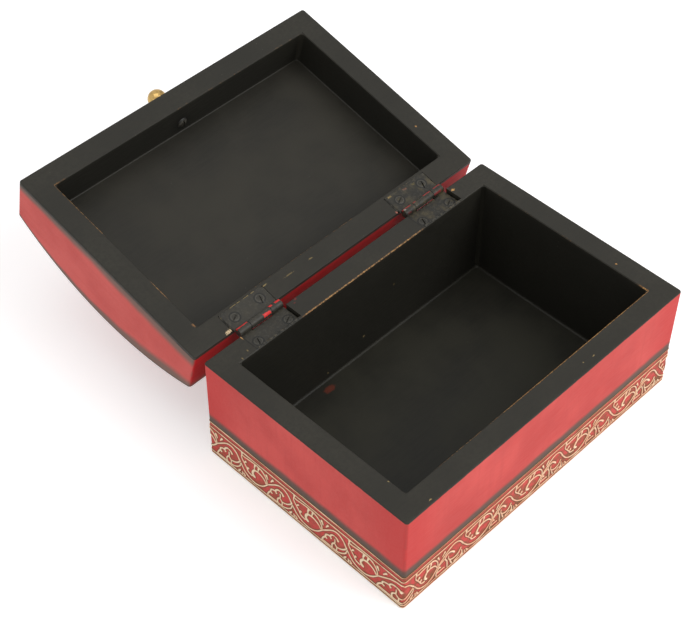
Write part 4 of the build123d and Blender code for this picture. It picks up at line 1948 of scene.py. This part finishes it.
@dataclass
class Lid:
    """The domed lid: four rails, a lining, a bent top board and the knob."""

    effects: SharedEffects
    boards: tuple[str, ...] = ("lid_front_rail", "lid_left_rail", "lid_right_rail", "lid_top_board")
    rim_clearance: float = 0.5 * MM

    def build(self) -> None:
        """Dress the lid and add its inside corners."""
        worn = (
            WornStretch((-78.5, 31.5), (5.0, 17.0), 0.7),
            WornStretch((-78.5, -24.0), (5.0, 4.7), 0.95),
            WornStretch((30.0, 48.5), (45.0, 5.0), 0.3),
        )
        gilt, red = (0.40, 0.29, 0.12), (0.55, 0.03, 0.025)
        dusty = RedPaint(light=(0.68, 0.114, 0.100), deep=(0.575, 0.076, 0.066), wax=(0.118, 0.111, 0.086))
        low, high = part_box("knob_screw")
        screw = SIZES.lid_matrix().inverted() @ ((low + high) / 2) / MM
        inner = SIZES.half_width / MM - SIZES.lid_wall / MM
        chips = (
            # Dark patch round the knob screw on the front rail's inside: painted shadow of the hollow round
            # its head
            Chip((screw.x, inner, screw.z), (7.5, 3.0, 7.5), BLACK, 0.8),
            Chip((-78.6, -47.0, 0.0), (1.3, 1.3, 0.8), (0.33, 0.16, 0.06), 0.7),
        )
        paint = CoatedLidBoards(
            self.effects,
            "lid_boards_paint",
            SIZES.lid_wall,
            worn,
            red=dusty,
            black=BlackPaint(light=(0.0245, 0.0225, 0.0165), deep=(0.0138, 0.0128, 0.0093)),
            chips=chips,
        ).build()
        for board in self.boards:
            dress(board, paint)
        chips = (
            Chip((-69.2, -59.0, 0.0), (2.4, 1.2, 0.6), (0.66, 0.50, 0.30)),
            Chip((-64.0, -59.7, 0.0), (2.6, 0.5, 0.5), red, 0.7),
            Chip((-40.0, -50.8, 0.0), (2.0, 0.4, 0.5), gilt, 0.55),
            Chip((-27.0, -53.4, 0.0), (4.0, 0.4, 0.5), gilt, 0.3),
            Chip((-13.4, -53.1, 0.0), (1.4, 0.4, 0.5), gilt, 0.45),
            Chip((37.4, -59.4, 0.0), (0.9, 0.8, 0.6), (0.42, 0.14, 0.10)),
        )
        rail_paint = CoatedLidBoards(
            self.effects,
            "lid_back_rail_paint",
            SIZES.lid_wall,
            (WornStretch((-7.0, -48.5), (42.0, 5.0), 0.4),),
            red=dusty,
            chips=chips,
            black_overlap=2.2 * MM,
            boundary_softness=0.12 * MM,
        )
        dress("lid_back_rail", rail_paint.build())
        shaded = BlackPaint(light=(0.0236, 0.0214, 0.0156), deep=(0.0134, 0.0123, 0.0089))
        lining = BlackPanel(self.effects, "lid_panel_paint", on_lid=True, black=shaded).build()
        dress("lid_lining_panel", lining)
        dress("knob", TurnedBrass(self.effects).build())
        PaintedCorners(
            name="lid",
            body=Body.LID,
            finish=lining,
            half_length=SIZES.half_length - SIZES.lid_wall,
            half_width=SIZES.half_width - SIZES.lid_wall,
            floor=-SIZES.lid_inner_depth,
            rim=-self.rim_clearance,
            matrix=SIZES.lid_matrix(),
            bead_radius=0.5 * MM,
        ).build()


@dataclass
class Hinges:
    """The two butt hinges with their screws, and the screw behind the knob."""

    effects: SharedEffects
    red: Colour = (0.60, 0.022, 0.020)
    faded: Colour = (0.32, 0.032, 0.030)
    knob_screw_radius: float = 2.9 * MM
    back_inset: float = 0.6 * MM
    lip_inset: float = 0.75 * MM
    lip_gilding: float = 0.1

    def build(self) -> None:
        """Dress the hinges, each with its own dabs of stray paint."""
        dark = BlackPaint(light=(0.0205, 0.0187, 0.0132), deep=(0.0118, 0.0108, 0.0076))
        for side, patches, gilding, bead_gilding, black in (
            (Side.LEFT, self._left_patches(), 0.15, 0.8, BlackPaint()),
            (Side.RIGHT, self._right_patches(), 0.75, 0.3, dark),
        ):
            name = f"{side.value}_hinge"
            screws = (*self._heads(side, Body.BASE), *self._heads(side, Body.LID))
            paint = PaintedHinge(self.effects, f"{name}_paint", patches, screws, gilding, black).build()
            for part in ("base_leaf", "lid_leaf", "pin", "base_screws", "lid_screws"):
                dress(f"{name}_{part}", paint)
            self._build_leaf_paint(side, bead_gilding)
        low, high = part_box("knob_screw")
        # The knob screw's head gets the same painted highlight rim and ring of painted shade as the hinge
        # screws
        head = ScrewMark((low + high) / 2, SIZES.lid_direction(0.0, 1.0, 0.0), self.knob_screw_radius)
        dress("knob_screw", PaintedHinge(self.effects, "knob_screw_paint", (), (head,)).build())

    def _build_leaf_paint(self, side: Side, gilding: float) -> None:
        """Add the paint round a lid leaf and along the inner edge of its base leaf.

        Args:
            side: The hinge's side.
            gilding: How much gilt is rubbed on the paint round the lid leaf.
        """
        low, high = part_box(f"{side.value}_hinge_base_leaf")
        back = -SIZES.half_width + self.back_inset
        near = SIZES.pin.y - SIZES.pin_setback - low.y - SIZES.half_width
        path = ((low.x, back), (low.x, near), (high.x, near), (high.x, back))
        corners = tuple(SIZES.lid_matrix() @ Vector((x, y, 0.0)) for x, y in path)
        finish = LeafPaintFinish(self.effects, f"{side.value}_leaf_paint", gilding).build()
        out = SIZES.lid_direction(0.0, 0.0, 1.0)
        LeafPaint(f"{side.value}_lid_leaf_paint", Body.LID, finish, corners, out).build()
        lip = tuple(Vector((x, low.y - self.lip_inset, SIZES.base_height)) for x in (low.x, high.x))
        plain = LeafPaintFinish(self.effects, f"{side.value}_lip_paint", self.lip_gilding).build()
        lumpy = replace(LeafPaint.hand, swell=0.6)
        name = f"{side.value}_base_lip_paint"
        LeafPaint(name, Body.BASE, plain, lip, UP, rise=0.15 * MM, hand=lumpy).build()

    @staticmethod
    def _heads(side: Side, body: Body) -> tuple[ScrewMark, ...]:
        """The two screws of a leaf, found from the box round them.

        Args:
            side: The hinge's side.
            body: The body that the leaf is screwed to.

        Returns:
            The marks of the two heads.
        """
        low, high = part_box(f"{side.value}_hinge_{body.value}_screws")
        axis = SIZES.lid_direction(0.0, 0.0, 1.0) if body is Body.LID else UP
        radius = ScrewMark.radius
        apart = max(0.0, (high - low).y - 2 * radius)
        first = Vector((low.x + radius, low.y + radius, high.z))
        second = Vector((high.x - radius, low.y + radius + apart, high.z))
        return ScrewMark(first, axis), ScrewMark(second, axis)

    @staticmethod
    def _dab(
        side: Side,
        along: float,
        across: float,
        up: float,
        half_length: float,
        colour: Colour,
        reach: float = 0.8,
    ) -> PaintPatch:
        """A dab of paint near a hinge's pin, in millimetres.

        Args:
            side: The hinge's side.
            along: Distance from the pin's middle along it.
            across: Distance from the pin towards the back.
            up: Height over the pin.
            half_length: Half the dab's length.
            colour: The paint.
            reach: Half its width and its height.

        Returns:
            The patch.
        """
        low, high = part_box(f"{side.value}_hinge_pin")
        middle = (low + high) / 2 + Vector((along, across, up)) * MM
        return PaintPatch(middle, (half_length * MM, reach * MM, reach * MM), colour)

    @staticmethod
    def _lid_dab(x: float, across: float, half_length: float, colour: Colour) -> PaintPatch:
        """A dab of paint on a lid leaf, at millimetres in the lid's own axes."""
        middle = SIZES.lid_matrix() @ (Vector((x, across, 0.0)) * MM)
        return PaintPatch(middle, (half_length * MM, 0.5 * MM, 0.6 * MM), colour, 0.65)

    def _joints(self, side: Side) -> tuple[PaintPatch, ...]:
        """Grime in the two joints between the knuckles."""
        return tuple(self._dab(side, along, 0.0, 0.0, 0.32, BLACK, 2.4) for along in (-6.2, 6.2))

    def _left_patches(self) -> tuple[PaintPatch, ...]:
        """Stray paint on the left hinge.

        Returns:
            The dabs and the grime.
        """
        return (
            *self._joints(Side.LEFT),
            self._dab(Side.LEFT, -9.7, 1.3, 1.7, 3.3, self.red),
            self._dab(Side.LEFT, 3.4, -1.8, 1.4, 2.1, self.red, 0.9),
            self._dab(Side.LEFT, 7.2, 0.8, 1.9, 1.0, self.red),
            self._dab(Side.LEFT, 12.0, 0.8, 1.9, 2.2, self.red),
        )

    def _right_patches(self) -> tuple[PaintPatch, ...]:
        """Stray paint on the right hinge and its lid leaf.

        Returns:
            The dabs and the grime.
        """
        return (
            *self._joints(Side.RIGHT),
            self._dab(Side.RIGHT, -10.4, 1.3, 1.7, 3.0, self.faded),
            self._dab(Side.RIGHT, -4.8, 1.4, 1.6, 0.9, self.faded),
            self._dab(Side.RIGHT, 3.6, 1.3, 1.7, 2.4, self.faded),
            self._dab(Side.RIGHT, 10.9, 1.3, 1.7, 2.8, self.faded),
            self._dab(Side.RIGHT, 8.6, -2.2, 1.0, 2.4, (0.13, 0.012, 0.010)),
            self._dab(Side.RIGHT, -10.6, -2.2, 1.0, 1.2, (0.06, 0.010, 0.009)),
            self._dab(Side.RIGHT, -11.8, 0.4, 2.0, 0.6, (0.24, 0.23, 0.20), 0.6),
            self._lid_dab(40.8, -51.1, 1.1, (0.34, 0.24, 0.09)),
            self._lid_dab(50.0, -52.2, 1.2, (0.17, 0.075, 0.050)),
            self._lid_dab(55.5, -52.6, 1.1, (0.12, 0.095, 0.035)),
        )


@dataclass(frozen=True)
class Lamp:
    """A square soft lamp that faces the box: its place and side in metres, its power in watts."""

    name: str
    place: tuple[float, float, float]
    side: float
    power: float


@dataclass
class Studio:
    """A pale floor, soft lamps and a camera where the photograph was taken."""

    camera_place: tuple[float, float, float] = (-0.38418, -0.31263, 0.60622)
    camera_aim: tuple[float, float, float] = (-0.0025, 0.0575, 0.0300)
    camera_roll: float = 0.59
    lens: float = 86.24
    sensor: float = 36.0
    sky: float = 0.55
    white: Colour = (1.0, 1.0, 1.0)
    floor_colours: tuple[Colour, Colour] = ((0.80, 0.80, 0.80), (0.82, 0.82, 0.82))
    floor_glow: float = 0.42
    floor_half_size: float = 4.0
    floor_drop: float = 0.05 * MM
    lamps: tuple[Lamp, ...] = (
        Lamp("key_lamp", (0.55, -1.15, 1.25), 1.1, 18.0),
        Lamp("top_lamp", (-0.25, 0.15, 1.5), 1.2, 5.0),
        Lamp("left_lamp", (-1.4, -0.25, 0.45), 0.9, 1.5),
    )

    def build(self) -> None:
        """Set the camera, the floor, the world and the lamps."""
        self._build_camera()
        self._build_floor()
        self._build_world()
        for lamp in self.lamps:
            self._add_lamp(lamp)
        bpy.context.scene.view_settings.view_transform = "Standard"

    def _build_camera(self) -> None:
        """Place the camera and make it the scene's own."""
        data = bpy.data.cameras.new("camera")
        data.lens = self.lens
        data.sensor_width = self.sensor
        camera = bpy.data.objects.new("camera", data)
        place = Vector(self.camera_place)
        roll = Matrix.Rotation(math.radians(self.camera_roll), 4, "Z")
        camera.matrix_world = facing(place, Vector(self.camera_aim) - place) @ roll
        bpy.context.scene.collection.objects.link(camera)
        bpy.context.scene.camera = camera

    def _build_floor(self) -> None:
        """Make a wide pale floor whose colour is white to the camera where no shadow falls."""
        material, net, shader = new_material("pale_floor")
        grain = net.noise(net.place(), 40.0, 3.0)
        net.feed(shader.inputs["Base Color"], net.mix(grain, *self.floor_colours))
        shader.inputs["Roughness"].default_value = 0.9
        shader.inputs["Specular IOR Level"].default_value = 0.1
        strength = net.times(net.sight_rays(), self.floor_glow)
        glow = net.node("ShaderNodeEmission", {"Color": self.white, "Strength": strength})
        both = net.node("ShaderNodeAddShader", {0: shader.outputs[0], 1: glow.outputs[0]})
        net.feed(net.find("OUTPUT_MATERIAL").inputs["Surface"], both.outputs[0])
        mesh = bmesh.new()
        bmesh.ops.create_grid(mesh, x_segments=8, y_segments=8, size=self.floor_half_size)
        data = bpy.data.meshes.new("floor")
        mesh.to_mesh(data)
        mesh.free()
        data.materials.append(material)
        floor = bpy.data.objects.new("floor", data)
        floor.location.z = -self.floor_drop
        bpy.context.scene.collection.objects.link(floor)

    def _build_world(self) -> None:
        """Surround the scene with soft light, and white to the camera."""
        world = bpy.data.worlds.new("studio")
        world.use_nodes = True
        bpy.context.scene.world = world
        net = NodeNet(world.node_tree)
        background = net.find("BACKGROUND")
        net.feed(background.inputs["Color"], self.white)
        net.feed(background.inputs["Strength"], net.blend(net.sight_rays(), self.sky, 1.0))

    @staticmethod
    def _add_lamp(lamp: Lamp) -> None:
        """Hang a lamp.

        Args:
            lamp: The lamp.
        """
        data = bpy.data.lights.new(lamp.name, "AREA")
        data.size = lamp.side
        data.energy = lamp.power
        placed = bpy.data.objects.new(lamp.name, data)
        place = Vector(lamp.place)
        placed.matrix_world = facing(place, -place)
        bpy.context.scene.collection.objects.link(placed)


def facing(place: Vector, way: Vector) -> Matrix:
    """The matrix of a camera or lamp at a place that looks a given way."""
    return Matrix.Translation(place) @ way.to_track_quat("-Z", "Y").to_matrix().to_4x4()


def main() -> None:
    """Build the scene."""
    logging.basicConfig(level=logging.INFO, format="%(name)s: %(message)s")
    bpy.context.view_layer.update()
    # Without a seed, noise_vector starts from the clock and the vine would differ in each run
    noise.seed_set(NOISE_SEED)
    effects = SharedEffects()
    Base(effects).build()
    Brads().build()
    Lid(effects).build()
    Hinges(effects).build()
    Studio().build()


if __name__ == "__main__":
    main()
